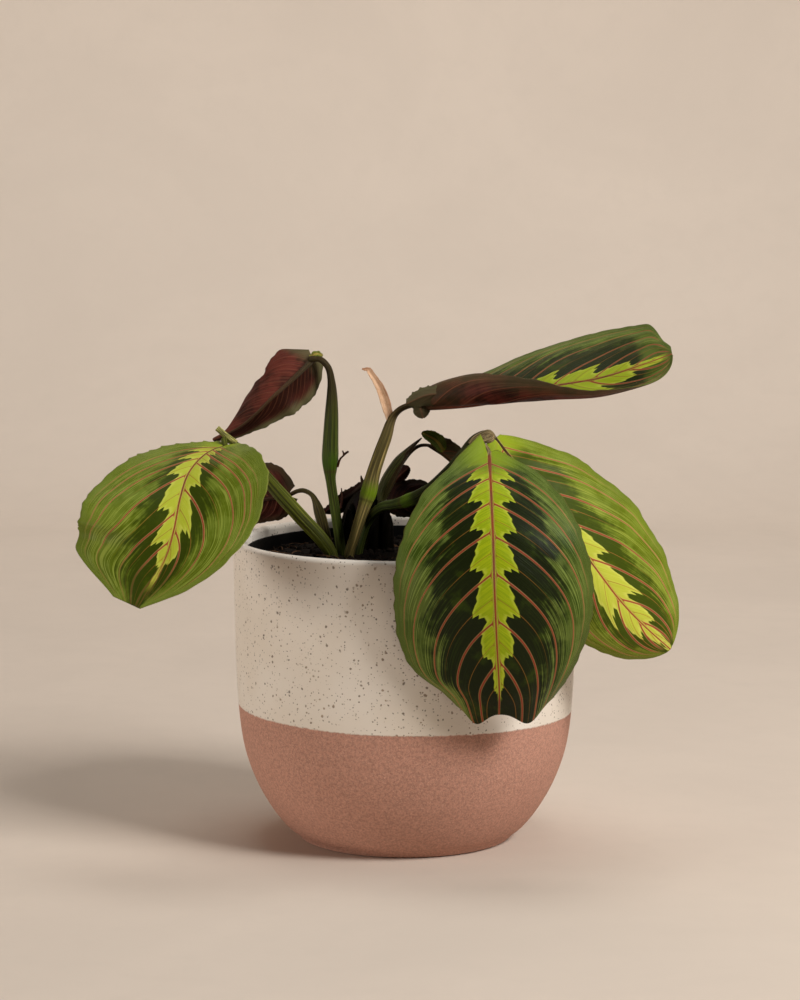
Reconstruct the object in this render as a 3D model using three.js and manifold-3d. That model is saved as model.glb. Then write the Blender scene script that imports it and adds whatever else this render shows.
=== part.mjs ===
// A prayer plant in its plastic nursery pot, standing in a two-tone ceramic pot.
// Millimetres, +Z up. The origin is the middle of the ceramic pot's flat base, and the front is -Y.
import * as THREE from "three";
import { mergeVertices } from "three/addons/utils/BufferGeometryUtils.js";
import Module from "manifold-3d";

const wasm = await Module();
wasm.setup();

// Ceramic pot
const POT_HEIGHT = 118.8;
const POT_WALL = 4;
const POT_FLOOR = 7;
const POT_ROWS = 12;
const TURNED_SIDES = 48;
// Radius of the outer wall at each height, from the foot to the start of the rounded lip.
const POT_OUTLINE = [
  [0, 41.5],
  [2, 43.2],
  [6, 47.9],
  [13.6, 53.7],
  [24, 59.3],
  [37, 63.6],
  [54, 65.8],
  [80, 66.9],
  [POT_HEIGHT - POT_WALL / 2, 67.5],
];

// Plastic nursery pot, which stands on the ceramic pot's floor
const CLEARANCE = 0.3;
const NURSERY_TOP = 115.2;
const NURSERY_WALL = 1;
const NURSERY_RIM_RADIUS = 62.2;
const NURSERY_RIM_BAND = 9;
const NURSERY_NECK_RADIUS = 60.4;
const NURSERY_BASE_RADIUS = 44.5;

// Soil
const SOIL_EDGE_HEIGHT = 110.3;
const SOIL_CROWN_HEIGHT = 112;
const ROOT_DEPTH = 7;
const HOLE_CLEARANCE = 0.55;
const HOLE_RISE = 4;

// Leaves and stems
const BLADE_THICKNESS = 0.8;
const BASE_HALF_WIDTH = 3;
const TIP_HALF_WIDTH = 0.6;
const FRAME_REACH = 0.16;
const LOBE_REACH = 0.12;
const STEM_SIDES = 8;
const STEM_STEP = 3.2;

// Stems: where each leaves the soil, then the points it passes, each [x, y, z, radius].
// flat is the thickness over the width of its section.
const STEMS = {
  stem_left: {
    color: 0x5f7034,
    flat: 0.72,
    points: [
      [-28.6, -9, 112.6, 2.5],
      [-32.6, -10, 119.3, 2.9],
      [-40.9, -12, 128.7, 3.1],
      [-50.4, -16, 140.1, 2.8],
      [-56.8, -20, 148.4, 2.2],
      [-62.3, -22.5, 154.9, 1.7],
      [-66.6, -23.8, 159, 1.4],
      [-72.2, -24.6, 163, 1.1],
    ],
  },
  stem_upper_left: {
    color: 0x3c4a20,
    flat: 0.85,
    points: [
      [-25.3, 4.5, 112.6, 1.9],
      [-27.3, 3, 127.1, 1.9],
      [-29.2, 2, 140.3, 1.9],
      [-29.5, 2, 145.1, 2.6],
      [-29.5, 2, 149.8, 3.2],
      [-29.3, 2, 156.9, 3],
      [-28.9, 2, 166.7, 2.7],
      [-28.5, 2, 174.6, 2.3],
      [-28.5, 2, 180.5, 1.8],
      [-29.2, 2.2, 184.6, 1.6],
      [-31.2, 2.6, 187.4, 1.5],
      [-34.1, 3.4, 188.4, 1.4],
    ],
  },
  stem_upper_right: {
    color: 0x4f5128,
    flat: 0.85,
    points: [
      [-22, -3.8, 112.8, 1.8],
      [-20.2, -3.9, 118.5, 1.9],
      [-17.9, -3.9, 126, 2],
      [-16, -3.6, 131.9, 2.2],
      [-14.4, -3, 137, 2.7],
      [-12.1, -3, 144.9, 2.5],
      [-9.6, -3, 152.7, 2.4],
      [-7.3, -3, 159, 2.2],
      [-5.8, -3, 164.4, 1.9],
      [-4, -3, 167.6, 1.6],
      [-1.3, -3, 169.6, 1.5],
      [2.6, -3, 170.6, 1.4],
    ],
  },
  stem_centre: {
    color: 0x48502a,
    flat: 0.6,
    points: [
      [-15.6, 8.5, 112.6, 1.8],
      [-13.2, 8, 122.8, 2],
      [-10, 7, 130.8, 2.2],
      [-6.6, 5.5, 138, 2.5],
      [-3.8, 5, 143.9, 2.3],
      [-0.6, 4.5, 149.7, 1.8],
      [2.6, 4, 153.7, 1.1],
      [6.4, 4, 157.5, 0.45],
    ],
    branches: [
      [
        [-5, 5, 141.4, 1.1],
        [-1, 5.4, 147.6, 1.1],
        [2.2, 5.6, 151.8, 1.1],
        [5.4, 5.2, 154.2, 1.1],
        [8.7, 4.5, 154.6, 1],
      ],
    ],
  },
  stem_front: {
    color: 0x5c7026,
    flat: 0.85,
    points: [
      [-18.4, 2.4, 112.8, 1.8],
      [-15.4, 1, 123.6, 1.9],
      [-9.9, -6, 131.1, 2],
      [-3.7, -12, 133.4, 2.1],
      [0.6, -16, 135.1, 2.7],
      [4.8, -20, 137.5, 2.4],
      [10.1, -28, 142.4, 2],
      [16.8, -38, 150.5, 1.8],
      [20.8, -44, 156.4, 1.5],
      [24.9, -46.8, 162.1, 1.3],
      [28.3, -46, 164.2, 1.2],
      [31, -45, 164.5, 1.1],
      [32.7, -44, 163.3, 1],
    ],
    branches: [
      [
        [20.4, -43.6, 155.8, 1.2],
        [24.1, -49.4, 159.6, 1.1],
        [27.2, -52.6, 159.8, 1],
        [29.6, -54.9, 159, 0.9],
        [30.8, -56.8, 157.9, 0.9],
      ],
    ],
  },
  stem_small_left: {
    color: 0x6d6a2e,
    flat: 0.85,
    points: [
      [-31.6, 18, 112.2, 1.5],
      [-33.2, 18, 120, 1.6],
      [-34.7, 18, 126.4, 1.7],
      [-35.5, 18, 131.2, 1.2],
      [-37.5, 18, 133.6, 1.1],
      [-40.3, 18, 135, 1.1],
      [-42.8, 18, 134.8, 1],
      [-44.8, 18.1, 133.9, 1],
    ],
  },
  stem_back_left: {
    color: 0x4a3a26,
    flat: 0.9,
    points: [
      [-22.5, 13, 112.4, 1.3],
      [-19.5, 15, 121, 1.3],
      [-15.5, 17.5, 131, 1.2],
      [-14.6, 19, 135.6, 1.1],
      [-15.6, 20.4, 137.4, 1],
    ],
  },
  stem_back_right: {
    color: 0x35401f,
    flat: 0.9,
    points: [
      [-12, 13, 112.4, 1.6],
      [-11.6, 13.6, 119, 1.6],
      [-10.6, 14.6, 125.2, 1.5],
      [-8.9, 15.9, 129.5, 1.2],
    ],
  },
};

// Leaves. spine is the midrib from just past the stem, face the way the upper side looks,
// half the half widths, shape the place of the widest point and the fullness before and after it,
// fold and curl the angles of each half at the midrib and added by its margin. Left comes first.
// lobe is how far each half's base reaches back past the stem, as a share of the length. Each notch moves
// the blade near (u, v) within the reach (ru, rv) by so much along, across and up.
const LEAVES = {
  leaf_front: {
    color: 0x35581a,
    spine: [
      [31.1, -58, 158.8],
      [31.3, -75, 147.7],
      [31.8, -87, 130.8],
      [32.3, -91, 111.9],
      [33.2, -89, 93.4],
      [34.4, -83, 74],
      [34.6, -74.8, 61.4],
    ],
    face: [
      [-0.05, -0.9, 0.44],
      [-0.1, -0.95, 0.2],
      [0, -0.6, -0.75],
    ],
    half: [40, 38],
    shape: [
      [0.56, 1.6, 3.6],
      [0.53, 1.6, 2.9],
    ],
    fold: [
      [0, -4, -8],
      [0, -4, -8],
    ],
    curl: [
      [-5, -15, -30],
      [-15, -30, -40],
    ],
    ripple: [0.7, 3, 0.4],
    grid: [16, 8],
    tip: 9.3,
    notches: [
      { u: 1, v: 0, ru: 0.09, rv: 0.6, move: [-2, 0, 0] },
      { u: 0, v: -1, ru: 0.07, rv: 0.6, move: [0, 0, 3.4] },
    ],
    lobe: [0.055, 0.01],
  },
  leaf_right: {
    color: 0x6b8430,
    spine: [
      [33.8, -43.5, 162.6],
      [42.8, -53, 151.5],
      [54.9, -56, 136],
      [69.2, -53, 117.1],
      [80.9, -48, 101.3],
      [90.9, -43, 90.4],
      [101, -39, 81],
    ],
    face: [
      [0.45, -0.6, 0.65],
      [0.3, -0.9, 0.3],
    ],
    half: [25, 33.5],
    shape: [
      [0.5, 2, 1.6],
      [0.53, 1.5, 1.6],
    ],
    fold: [
      [-5, -8, -10],
      [5],
    ],
    curl: [
      [-42, -48, -52],
      [-6, -11, -16],
    ],
    ripple: [0.8, 4, 1],
    grid: [16, 8],
    lobe: [0, 0.01],
  },
  leaf_left: {
    color: 0x6f8c34,
    spine: [
      [-68.5, -27.6, 158],
      [-75.8, -34, 155.4],
      [-81.5, -46, 149.5],
      [-84.3, -56, 140.5],
      [-86.1, -64, 129.9],
      [-89.4, -70, 119.1],
      [-98.7, -76, 102.9],
    ],
    face: [
      [-0.16, -0.31, 0.94],
      [0.07, -0.33, 0.94],
    ],
    half: [39.3, 37.5],
    shape: [
      [0.68, 1.5, 4],
      [0.51, 2, 1.3],
    ],
    fold: [
      [2],
      [13],
    ],
    curl: [
      [-2],
      [7],
    ],
    ripple: [0.8, 4, 0],
    grid: [16, 8],
    lobe: [0.02, 0.02],
  },
  leaf_upper_right: {
    color: 0x55512c,
    spine: [
      [3.4, -3, 170.8],
      [22.7, -9, 172],
      [40.3, -15, 175.4],
      [57.5, -18, 179.9],
      [74.6, -20, 183.1],
      [89.7, -22, 188.3],
      [99.1, -24, 194.2],
    ],
    face: [[-0.27, -0.55, 0.79]],
    half: [22, 37],
    shape: [
      [0.6, 6, 3.7],
      [0.45, 1.8, 3.6],
    ],
    fold: [
      [43, -23, -10],
      [-8, -8, -8],
    ],
    curl: [
      [243, 135, 35],
      [-20, -12, 0],
    ],
    ripple: [0.5, 3, 0],
    grid: [18, 14],
    lobe: [0, 0.01],
  },
  leaf_upper_left: {
    color: 0x5a2f26,
    spine: [
      [-35.6, 3.8, 188.8],
      [-43.4, -2, 181.6],
      [-51.8, -6, 174.1],
      [-62.5, -4, 163.8],
      [-75.3, 2, 156.9],
    ],
    face: [[0, 0.85, 0.53]],
    half: [13.8, 13.7],
    shape: [
      [0.3, 3.4, 1.2],
      [0.3, 3.5, 1.2],
    ],
    fold: [
      [3, 8, 18],
      [59, 64, 74],
    ],
    curl: [
      [-13, -13, -3],
      [37, 37, 42],
    ],
    ripple: [0.9, 4, 0],
    grid: [16, 10],
    lobe: [0.05, 0.05],
  },
  leaf_centre: {
    color: 0x4a3a24,
    spine: [
      [9.7, 4.3, 154.7],
      [16.3, 3.5, 150.2],
      [24.5, 0, 142.4],
      [32.2, -3, 133.3],
      [37, -6, 124.5],
    ],
    face: [[0.3, 0.75, 0.6]],
    half: [4.6, 8],
    shape: [
      [0.35, 3.4, 1.7],
      [0.4, 2.2, 1.7],
    ],
    fold: [
      [35, 40, 45],
      [35, 40, 45],
    ],
    curl: [
      [20, 20, 20],
      [20, 20, 20],
    ],
    ripple: [0.6, 3, 0],
    grid: [12, 8],
    lobe: [0.02, 0.02],
  },
  leaf_small_left: {
    color: 0x4a2620,
    spine: [
      [-46.1, 18.2, 133.3],
      [-53, 19, 132],
      [-61, 20, 130.3],
      [-69, 20.5, 127.8],
      [-75.6, 20.5, 124.4],
    ],
    face: [[0, 0.95, 0.25]],
    half: [12, 14.5],
    shape: [
      [0.4, 3, 1.8],
      [0.4, 3.6, 1.8],
    ],
    fold: [
      [8],
      [8],
    ],
    curl: [
      [20],
      [20],
    ],
    ripple: [0.5, 3, 0],
    grid: [12, 8],
    lobe: [0.1, 0.1],
  },
  leaf_back_left: {
    color: 0x42261d,
    spine: [
      [-16, 21, 138.1],
      [-21.6, 22, 133.5],
      [-25.7, 23, 130.6],
      [-29.3, 24.5, 127.6],
      [-32.9, 26, 125],
    ],
    face: [[-0.2, 0.85, 0.5]],
    half: [13, 2.4],
    shape: [
      [0.45, 2.2, 1.8],
      [0.45, 2.2, 1.8],
    ],
    fold: [
      [15, 15, 15],
      [15, 15, 15],
    ],
    curl: [
      [20, 20, 20],
      [20, 20, 20],
    ],
    ripple: [0.5, 3, 0],
    grid: [12, 8],
    lobe: [0.02, 0.02],
  },
  leaf_back_right: {
    color: 0x1e2412,
    spine: [
      [-7.2, 16.6, 130.2],
      [-2.6, 18, 130.6],
      [3.8, 20, 130.8],
      [9.8, 21, 129.6],
      [16, 21, 127.2],
      [21.8, 20, 123.6],
    ],
    face: [[0, 0.95, 0.1]],
    half: [8.5, 8.5],
    shape: [
      [0.3, 3.2, 2],
      [0.5, 2.2, 2],
    ],
    fold: [
      [10, 10, 10],
      [10, 10, 10],
    ],
    curl: [
      [20, 20, 20],
      [20, 20, 20],
    ],
    ripple: [0.5, 3, 0],
    grid: [12, 8],
    lobe: [0.02, 0.02],
  },
};

// The dry bract that stands on the shoulder of the upper right leaf's sheath
const BRACT = {
  color: 0xc79a6c,
  spine: [
    [-7.5, -3, 167.6],
    [-8.6, -3, 173.2],
    [-11.4, -3, 180.4],
    [-14.4, -2.2, 184.2],
    [-16.9, -2, 185.1],
  ],
  face: [[0.3, -0.9, 0.2]],
  half: [1.7, 1.7],
  shape: [
    [0.45, 1.8, 1.4],
    [0.45, 1.8, 1.4],
  ],
  fold: [[15], [15]],
  curl: [[20], [20]],
  ripple: [0, 1, 0],
  lobe: [0, 0],
  base: 0.9,
  tip: 0.3,
  grid: [12, 4],
};

// A number or a vector at t in 0..1 on the smooth curve through the given ones.
function along(values, t) {
  const list = values.map((value) => (Array.isArray(value) ? value : [value]));
  if (list.length === 1) return list[0].slice();
  const spans = list.length - 1;
  const place = Math.min(Math.max(t, 0), 1) * spans;
  const index = Math.min(Math.floor(place), spans - 1);
  const f = place - index;
  const before = (i) => (i < 0 ? list[0].map((a, k) => 2 * a - list[1][k]) : list[i]);
  const after = (i) => (i > spans ? list[spans].map((a, k) => 2 * a - list[spans - 1][k]) : list[i]);
  const [a, b, c, d] = [before(index - 1), list[index], list[index + 1], after(index + 2)];
  return b.map(
    (_, k) =>
      0.5 *
      (2 * b[k] +
        (c[k] - a[k]) * f +
        (2 * a[k] - 5 * b[k] + 4 * c[k] - d[k]) * f * f +
        (3 * b[k] - a[k] - 3 * c[k] + d[k]) * f * f * f),
  );
}

const vectorAlong = (values, t) => new THREE.Vector3(...along(values, t).slice(0, 3));
const radiansAlong = (values, t) => THREE.MathUtils.degToRad(along(values, t)[0]);

// A closed geometry from a list of points and a list of corner triples.
function closedGeometry(points, faces) {
  const geometry = new THREE.BufferGeometry();
  geometry.setAttribute("position", new THREE.Float32BufferAttribute(points.flatMap((p) => p.toArray()), 3));
  geometry.setIndex(faces.flat());
  return geometry;
}

function solidOf(geometry) {
  const bare = geometry.clone();
  bare.deleteAttribute("normal");
  bare.deleteAttribute("uv");
  const merged = mergeVertices(bare, 1e-4);
  return new wasm.Manifold(
    new wasm.Mesh({
      numProp: 3,
      vertProperties: new Float32Array(merged.attributes.position.array),
      triVerts: new Uint32Array(merged.index.array),
    }),
  );
}

function geometryOf(solid) {
  const mesh = solid.getMesh();
  const geometry = new THREE.BufferGeometry();
  geometry.setAttribute("position", new THREE.Float32BufferAttribute(mesh.vertProperties, 3));
  geometry.setIndex(Array.from(mesh.triVerts));
  return geometry;
}

// A turned solid about Z from [radius, height] pairs that run up its outside and back to the axis.
function turned(profile) {
  const geometry = new THREE.LatheGeometry(
    profile.map(([radius, height]) => new THREE.Vector2(radius, height)),
    TURNED_SIDES,
  );
  geometry.rotateX(Math.PI / 2);
  return geometryOf(solidOf(geometry));
}

function ceramicPot() {
  const outer = new THREE.SplineCurve(POT_OUTLINE.map(([height, radius]) => new THREE.Vector2(radius, height)));
  const wall = outer.getPoints(POT_ROWS).map((p) => [p.x, p.y]);
  const lipRadius = POT_WALL / 2;
  const lipMiddle = wall[wall.length - 1][0] - lipRadius;
  const lip = [30, 60, 90, 120, 150].map((degrees) => {
    const angle = THREE.MathUtils.degToRad(degrees);
    return [lipMiddle + lipRadius * Math.cos(angle), POT_HEIGHT - lipRadius + lipRadius * Math.sin(angle)];
  });
  const inside = wall
    .filter(([, height], row) => height > POT_FLOOR + 4 && row % 2 === 0)
    .map(([radius, height]) => [radius - POT_WALL, height])
    .reverse();
  const floorRadius = inside[inside.length - 1][0] - 3;
  return turned([[0, 0], ...wall, ...lip, ...inside, [floorRadius, POT_FLOOR], [0, POT_FLOOR]]);
}

function nurseryPot() {
  const base = POT_FLOOR + CLEARANCE;
  const neck = NURSERY_TOP - NURSERY_RIM_BAND;
  const outside = [
    [0, base],
    [NURSERY_BASE_RADIUS, base],
    [NURSERY_NECK_RADIUS, neck],
    [NURSERY_RIM_RADIUS, neck + 1],
    [NURSERY_RIM_RADIUS, NURSERY_TOP],
  ];
  const inside = [
    [NURSERY_RIM_RADIUS - NURSERY_WALL, NURSERY_TOP],
    [NURSERY_RIM_RADIUS - NURSERY_WALL, neck + 1.6],
    [NURSERY_NECK_RADIUS - NURSERY_WALL, neck],
    [NURSERY_BASE_RADIUS - NURSERY_WALL, base + NURSERY_WALL],
    [0, base + NURSERY_WALL],
  ];
  return turned([...outside, ...inside]);
}

function soil() {
  const neck = NURSERY_TOP - NURSERY_RIM_BAND;
  const base = POT_FLOOR + 2 * CLEARANCE + NURSERY_WALL;
  const inset = NURSERY_WALL + 2 * CLEARANCE;
  const mound = [0.97, 0.8, 0.55, 0.28].map((share) => [
    (NURSERY_RIM_RADIUS - inset) * share,
    SOIL_EDGE_HEIGHT + (SOIL_CROWN_HEIGHT - SOIL_EDGE_HEIGHT) * (1 - share * share),
  ]);
  const body = turned([
    [0, base],
    [NURSERY_BASE_RADIUS - inset - 0.2, base],
    [NURSERY_NECK_RADIUS - inset, neck],
    [NURSERY_RIM_RADIUS - inset, neck + 2.6],
    [NURSERY_RIM_RADIUS - inset, SOIL_EDGE_HEIGHT - 0.6],
    ...mound,
    [0, SOIL_CROWN_HEIGHT],
  ]);
  const holes = Object.values(STEMS).map((stem) => {
    const [x, y, z, radius] = stem.points[0];
    const length = ROOT_DEPTH + CLEARANCE + HOLE_RISE;
    const hole = new THREE.CylinderGeometry(radius + HOLE_CLEARANCE, radius + HOLE_CLEARANCE, length, 12);
    hole.rotateX(Math.PI / 2);
    hole.translate(x, y, z + HOLE_RISE - length / 2);
    return solidOf(hole);
  });
  return geometryOf(holes.reduce((rest, hole) => rest.subtract(hole), solidOf(body)));
}

// A closed tube with an oval section along points that carry their own radius.
function tube(points, flat) {
  const lengths = points.slice(1).map((p, i) => Math.hypot(p[0] - points[i][0], p[1] - points[i][1], p[2] - points[i][2]));
  const steps = Math.max(Math.round(lengths.reduce((sum, length) => sum + length, 0) / STEM_STEP), 2 * points.length);
  const corners = [];
  const faces = [];
  let wide = new THREE.Vector3(1, 0, 0.3);
  for (let step = 0; step <= steps; step++) {
    const t = step / steps;
    const [x, y, z, radius] = along(points, t);
    const tangent = vectorAlong(points, t + 0.01).sub(vectorAlong(points, t - 0.01)).normalize();
    wide = wide.clone().addScaledVector(tangent, -wide.dot(tangent)).normalize();
    const thin = tangent.clone().cross(wide);
    for (let side = 0; side < STEM_SIDES; side++) {
      const angle = (2 * Math.PI * side) / STEM_SIDES;
      corners.push(
        new THREE.Vector3(x, y, z)
          .addScaledVector(wide, radius * Math.cos(angle))
          .addScaledVector(thin, radius * flat * Math.sin(angle)),
      );
    }
  }
  const at = (step, side) => step * STEM_SIDES + (side % STEM_SIDES);
  for (let step = 0; step < steps; step++) {
    for (let side = 0; side < STEM_SIDES; side++) {
      faces.push([at(step, side), at(step, side + 1), at(step + 1, side + 1)]);
      faces.push([at(step, side), at(step + 1, side + 1), at(step + 1, side)]);
    }
  }
  for (let side = 1; side < STEM_SIDES - 1; side++) {
    faces.push([at(0, 0), at(0, side + 1), at(0, side)]);
    faces.push([at(steps, 0), at(steps, side), at(steps, side + 1)]);
  }
  return closedGeometry(corners, faces);
}

function stemGeometry(stem) {
  const [x, y, z, radius] = stem.points[0];
  const trunk = tube([[x, y, z - ROOT_DEPTH, radius], ...stem.points], stem.flat);
  const branches = (stem.branches ?? []).map((points) => tube(points, 1));
  return geometryOf(branches.reduce((whole, branch) => whole.add(solidOf(branch)), solidOf(trunk)));
}

function halfWidth(u, side, leaf) {
  const [widest, before, after] = leaf.shape[side];
  const share = u < widest ? (widest - u) / widest : (u - widest) / (1 - widest);
  const width = leaf.half[side] * Math.sqrt(Math.max(1 - share ** (u < widest ? before : after), 0));
  if (u > widest) return Math.max(width, leaf.tip ?? TIP_HALF_WIDTH);
  return Math.max(width, (leaf.base ?? BASE_HALF_WIDTH) * Math.exp(-((u / 0.06) ** 2)));
}

// A point of the midrib, which runs on straight behind its start.
function spinePoint(leaf, u) {
  const start = vectorAlong(leaf.spine, u);
  if (u >= 0) return start;
  return start.addScaledVector(vectorAlong(leaf.spine, 0.001).sub(start), u / 0.001);
}

// A point of the blade's middle surface at a share of its length, with v from -1 to 1 across it.
function bladePoint(leaf, share, v) {
  const side = v < 0 ? 0 : 1;
  const u = share - leaf.lobe[side] * Math.abs(v) ** 1.6 * Math.exp(-share / LOBE_REACH);
  const before = Math.max(u - FRAME_REACH, 0);
  const after = Math.min(Math.max(u, 0) + FRAME_REACH, 1);
  const tangent = vectorAlong(leaf.spine, after).sub(vectorAlong(leaf.spine, before)).normalize();
  const up = vectorAlong(leaf.face, u);
  up.addScaledVector(tangent, -up.dot(tangent)).normalize();
  const across = up.clone().cross(tangent);
  const fold = radiansAlong(leaf.fold[side], u);
  const turn = radiansAlong(leaf.curl[side], u);
  const curl = Math.abs(turn) < 0.001 ? 0.001 : turn;
  const width = halfWidth(share, side, leaf);
  const angle = fold + curl * Math.abs(v);
  const [height, waves, phase] = leaf.ripple;
  const ripple = height * Math.abs(v) ** 3 * Math.sin(2 * Math.PI * waves * share + phase + 1.3 * side);
  const point = spinePoint(leaf, u)
    .addScaledVector(across, ((Math.sign(v) * width) / curl) * (Math.sin(angle) - Math.sin(fold)))
    .addScaledVector(up, (width / curl) * (Math.cos(fold) - Math.cos(angle)) + ripple * Math.sin(Math.PI * share));
  for (const notch of leaf.notches ?? []) {
    const reach = Math.exp(-(((share - notch.u) / notch.ru) ** 2) - ((v - notch.v) / notch.rv) ** 2);
    point.addScaledVector(tangent, reach * notch.move[0]);
    point.addScaledVector(across, reach * notch.move[1]);
    point.addScaledVector(up, reach * notch.move[2]);
  }
  return point;
}

function bladeNormal(leaf, u, v) {
  const d = 0.004;
  const alongBlade = bladePoint(leaf, Math.min(u + d, 1), v).sub(bladePoint(leaf, Math.max(u - d, 0), v));
  const acrossBlade = bladePoint(leaf, u, Math.min(v + d, 1)).sub(bladePoint(leaf, u, Math.max(v - d, -1)));
  return alongBlade.cross(acrossBlade).normalize();
}

// The upper and lower faces share one grid and one diagonal, so the blade keeps its thickness.
function bladeGeometry(leaf) {
  const [rows, columns] = leaf.grid;
  const points = [];
  const faces = [];
  for (const side of [1, -1]) {
    for (let row = 0; row <= rows; row++) {
      const u = (1 - Math.cos((Math.PI * row) / rows)) / 2;
      for (let column = 0; column <= columns; column++) {
        const v = (2 * column) / columns - 1;
        points.push(bladePoint(leaf, u, v).addScaledVector(bladeNormal(leaf, u, v), (side * BLADE_THICKNESS) / 2));
      }
    }
  }
  const at = (side, row, column) => side * (rows + 1) * (columns + 1) + row * (columns + 1) + column;
  for (let row = 0; row < rows; row++) {
    for (let column = 0; column < columns; column++) {
      const square = (side) => [
        at(side, row, column),
        at(side, row + 1, column),
        at(side, row + 1, column + 1),
        at(side, row, column + 1),
      ];
      const [a, b, c, d] = square(0);
      faces.push([a, b, c], [a, c, d]);
      const [e, f, g, h] = square(1);
      faces.push([e, g, f], [e, h, g]);
    }
  }
  const edge = [];
  for (let column = 0; column < columns; column++) edge.push([0, column]);
  for (let row = 0; row < rows; row++) edge.push([row, columns]);
  for (let column = columns; column > 0; column--) edge.push([rows, column]);
  for (let row = rows; row > 0; row--) edge.push([row, 0]);
  edge.forEach((place, i) => {
    const next = edge[(i + 1) % edge.length];
    faces.push([at(0, ...place), at(0, ...next), at(1, ...next)]);
    faces.push([at(0, ...place), at(1, ...next), at(1, ...place)]);
  });
  return closedGeometry(points, faces);
}

function piece(name, geometry, color, roughness) {
  const mesh = new THREE.Mesh(geometry, new THREE.MeshStandardMaterial({ color, roughness, metalness: 0 }));
  mesh.name = name;
  return mesh;
}

const plant = new THREE.Group();
plant.add(piece("ceramic_pot", ceramicPot(), 0xd9c7b2, 0.6));
plant.add(piece("nursery_pot", nurseryPot(), 0x2b2926, 0.7));
plant.add(piece("soil", soil(), 0x1c120b, 1));
for (const [name, stem] of Object.entries(STEMS)) {
  plant.add(piece(name, stemGeometry(stem), stem.color, 0.6));
}
for (const [name, leaf] of Object.entries(LEAVES)) {
  plant.add(piece(name, bladeGeometry(leaf), leaf.color, 0.45));
}
plant.add(piece("dry_bract", bladeGeometry(BRACT), BRACT.color, 0.8));

export default plant;
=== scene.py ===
"""A prayer plant in its nursery pot, standing in a two-tone ceramic pot."""

import math

import bpy
import numpy as np
from bpy.props import FloatProperty, FloatVectorProperty, IntProperty, PointerProperty
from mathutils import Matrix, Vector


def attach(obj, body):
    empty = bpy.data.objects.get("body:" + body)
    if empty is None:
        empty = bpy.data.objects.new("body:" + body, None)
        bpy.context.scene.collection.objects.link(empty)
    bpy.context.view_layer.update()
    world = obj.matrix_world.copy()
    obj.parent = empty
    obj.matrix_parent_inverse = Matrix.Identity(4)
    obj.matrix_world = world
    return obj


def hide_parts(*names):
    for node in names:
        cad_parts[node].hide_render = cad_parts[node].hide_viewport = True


bl_info = {
    "name": "Potted prayer plant",
    "version": (1, 0, 0),
    "blender": (4, 5, 0),
    "location": "3D View > Sidebar > Prayer plant",
    "description": "Builds a potted prayer plant, its pots, soil, stems and leaves around its CAD frame",
    "category": "Add Mesh",
}

MM = 0.001
TURN = 2 * math.pi
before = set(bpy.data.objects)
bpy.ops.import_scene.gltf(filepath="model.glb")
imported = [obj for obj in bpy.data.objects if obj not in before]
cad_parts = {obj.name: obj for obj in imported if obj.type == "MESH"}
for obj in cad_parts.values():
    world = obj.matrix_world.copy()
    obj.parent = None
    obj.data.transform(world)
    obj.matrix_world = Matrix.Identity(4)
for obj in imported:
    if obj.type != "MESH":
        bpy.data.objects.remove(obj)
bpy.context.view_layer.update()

# Outer wall of the ceramic pot: its height and radius in millimetres.
POT_OUTLINE = [
    (0, 41.5), (2, 43.2), (6, 47.9), (13.6, 53.7), (24, 59.3), (37, 63.6), (54, 65.8), (80, 66.9),
    (116.8, 67.5),
]
POT_WALL = 4
POT_FLOOR = 7
NURSERY_TOP = 115.2
SOIL_RADIUS = 60.4
SOIL_TOP = 112
SOIL_UNDERSIDE = 104

# The soil's top: its rings and sides, how far it sinks to its edge, its waves' count, height and fineness,
# and the seeds of the waves, the crumbs and the fibres.
SOIL_GRID = (60, 180)
SOIL_SAG = 1.7
WAVE_COUNT = 14
WAVE_HEIGHT = 0.28
WAVE_FINENESS = 0.28
WAVE_SEED, CRUMB_SEED, FIBRE_SEED = 5, 3, 8

# Glaze specks: how many cells to a metre, the largest radius in cells and the share of cells without one,
# and how far their outlines waver, in metres.
SPECKS = ((230.0, 0.2, 0.7), (380.0, 0.27, 0.46), (600.0, 0.34, 0.36), (1000.0, 0.36, 0.36))
SPECK_WOBBLE = 0.0012

# How far a crumb's surface is pushed about, in metres.
LUMP_DEPTH = 0.0014

# Stage: the floor's reach, where it starts to bend up, the radius of the bend and its top in millimetres,
# the camera, and each lamp's kind, place, target, size and colour, in metres.
SWEEP_REACH = 3000
SWEEP_START = 900
SWEEP_BEND = 500
SWEEP_TOP = 3500
STAGE_CAMERA = {"place": (-0.0021, -1.2, 0.284), "tilt": 82.85, "lens": 111.1, "sensor": 36, "reach": 20}
LAMPS = {
    "key": ("AREA", (0.95, -0.75, 1.0), (0, 0, 0.1), 0.5, (1.0, 0.985, 0.965)),
    "side": ("AREA", (-1.5, -0.45, 0.2), (0, 0, 0.08), 0.4, (1.0, 0.95, 0.89)),
    "back": ("AREA", (0, 0.3, 1.9), (0, 1.4, 0.5), 1.0, (1.0, 1.0, 0.99)),
    "sweep": ("SPOT", (0, 0.3, 1.9), (0, 1.3, 0.25), 0.3, (1.0, 1.0, 0.99)),
}
SPOT_ANGLE = 70
ROOM_COLOUR = (1.0, 0.97, 0.93, 1.0)

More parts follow.
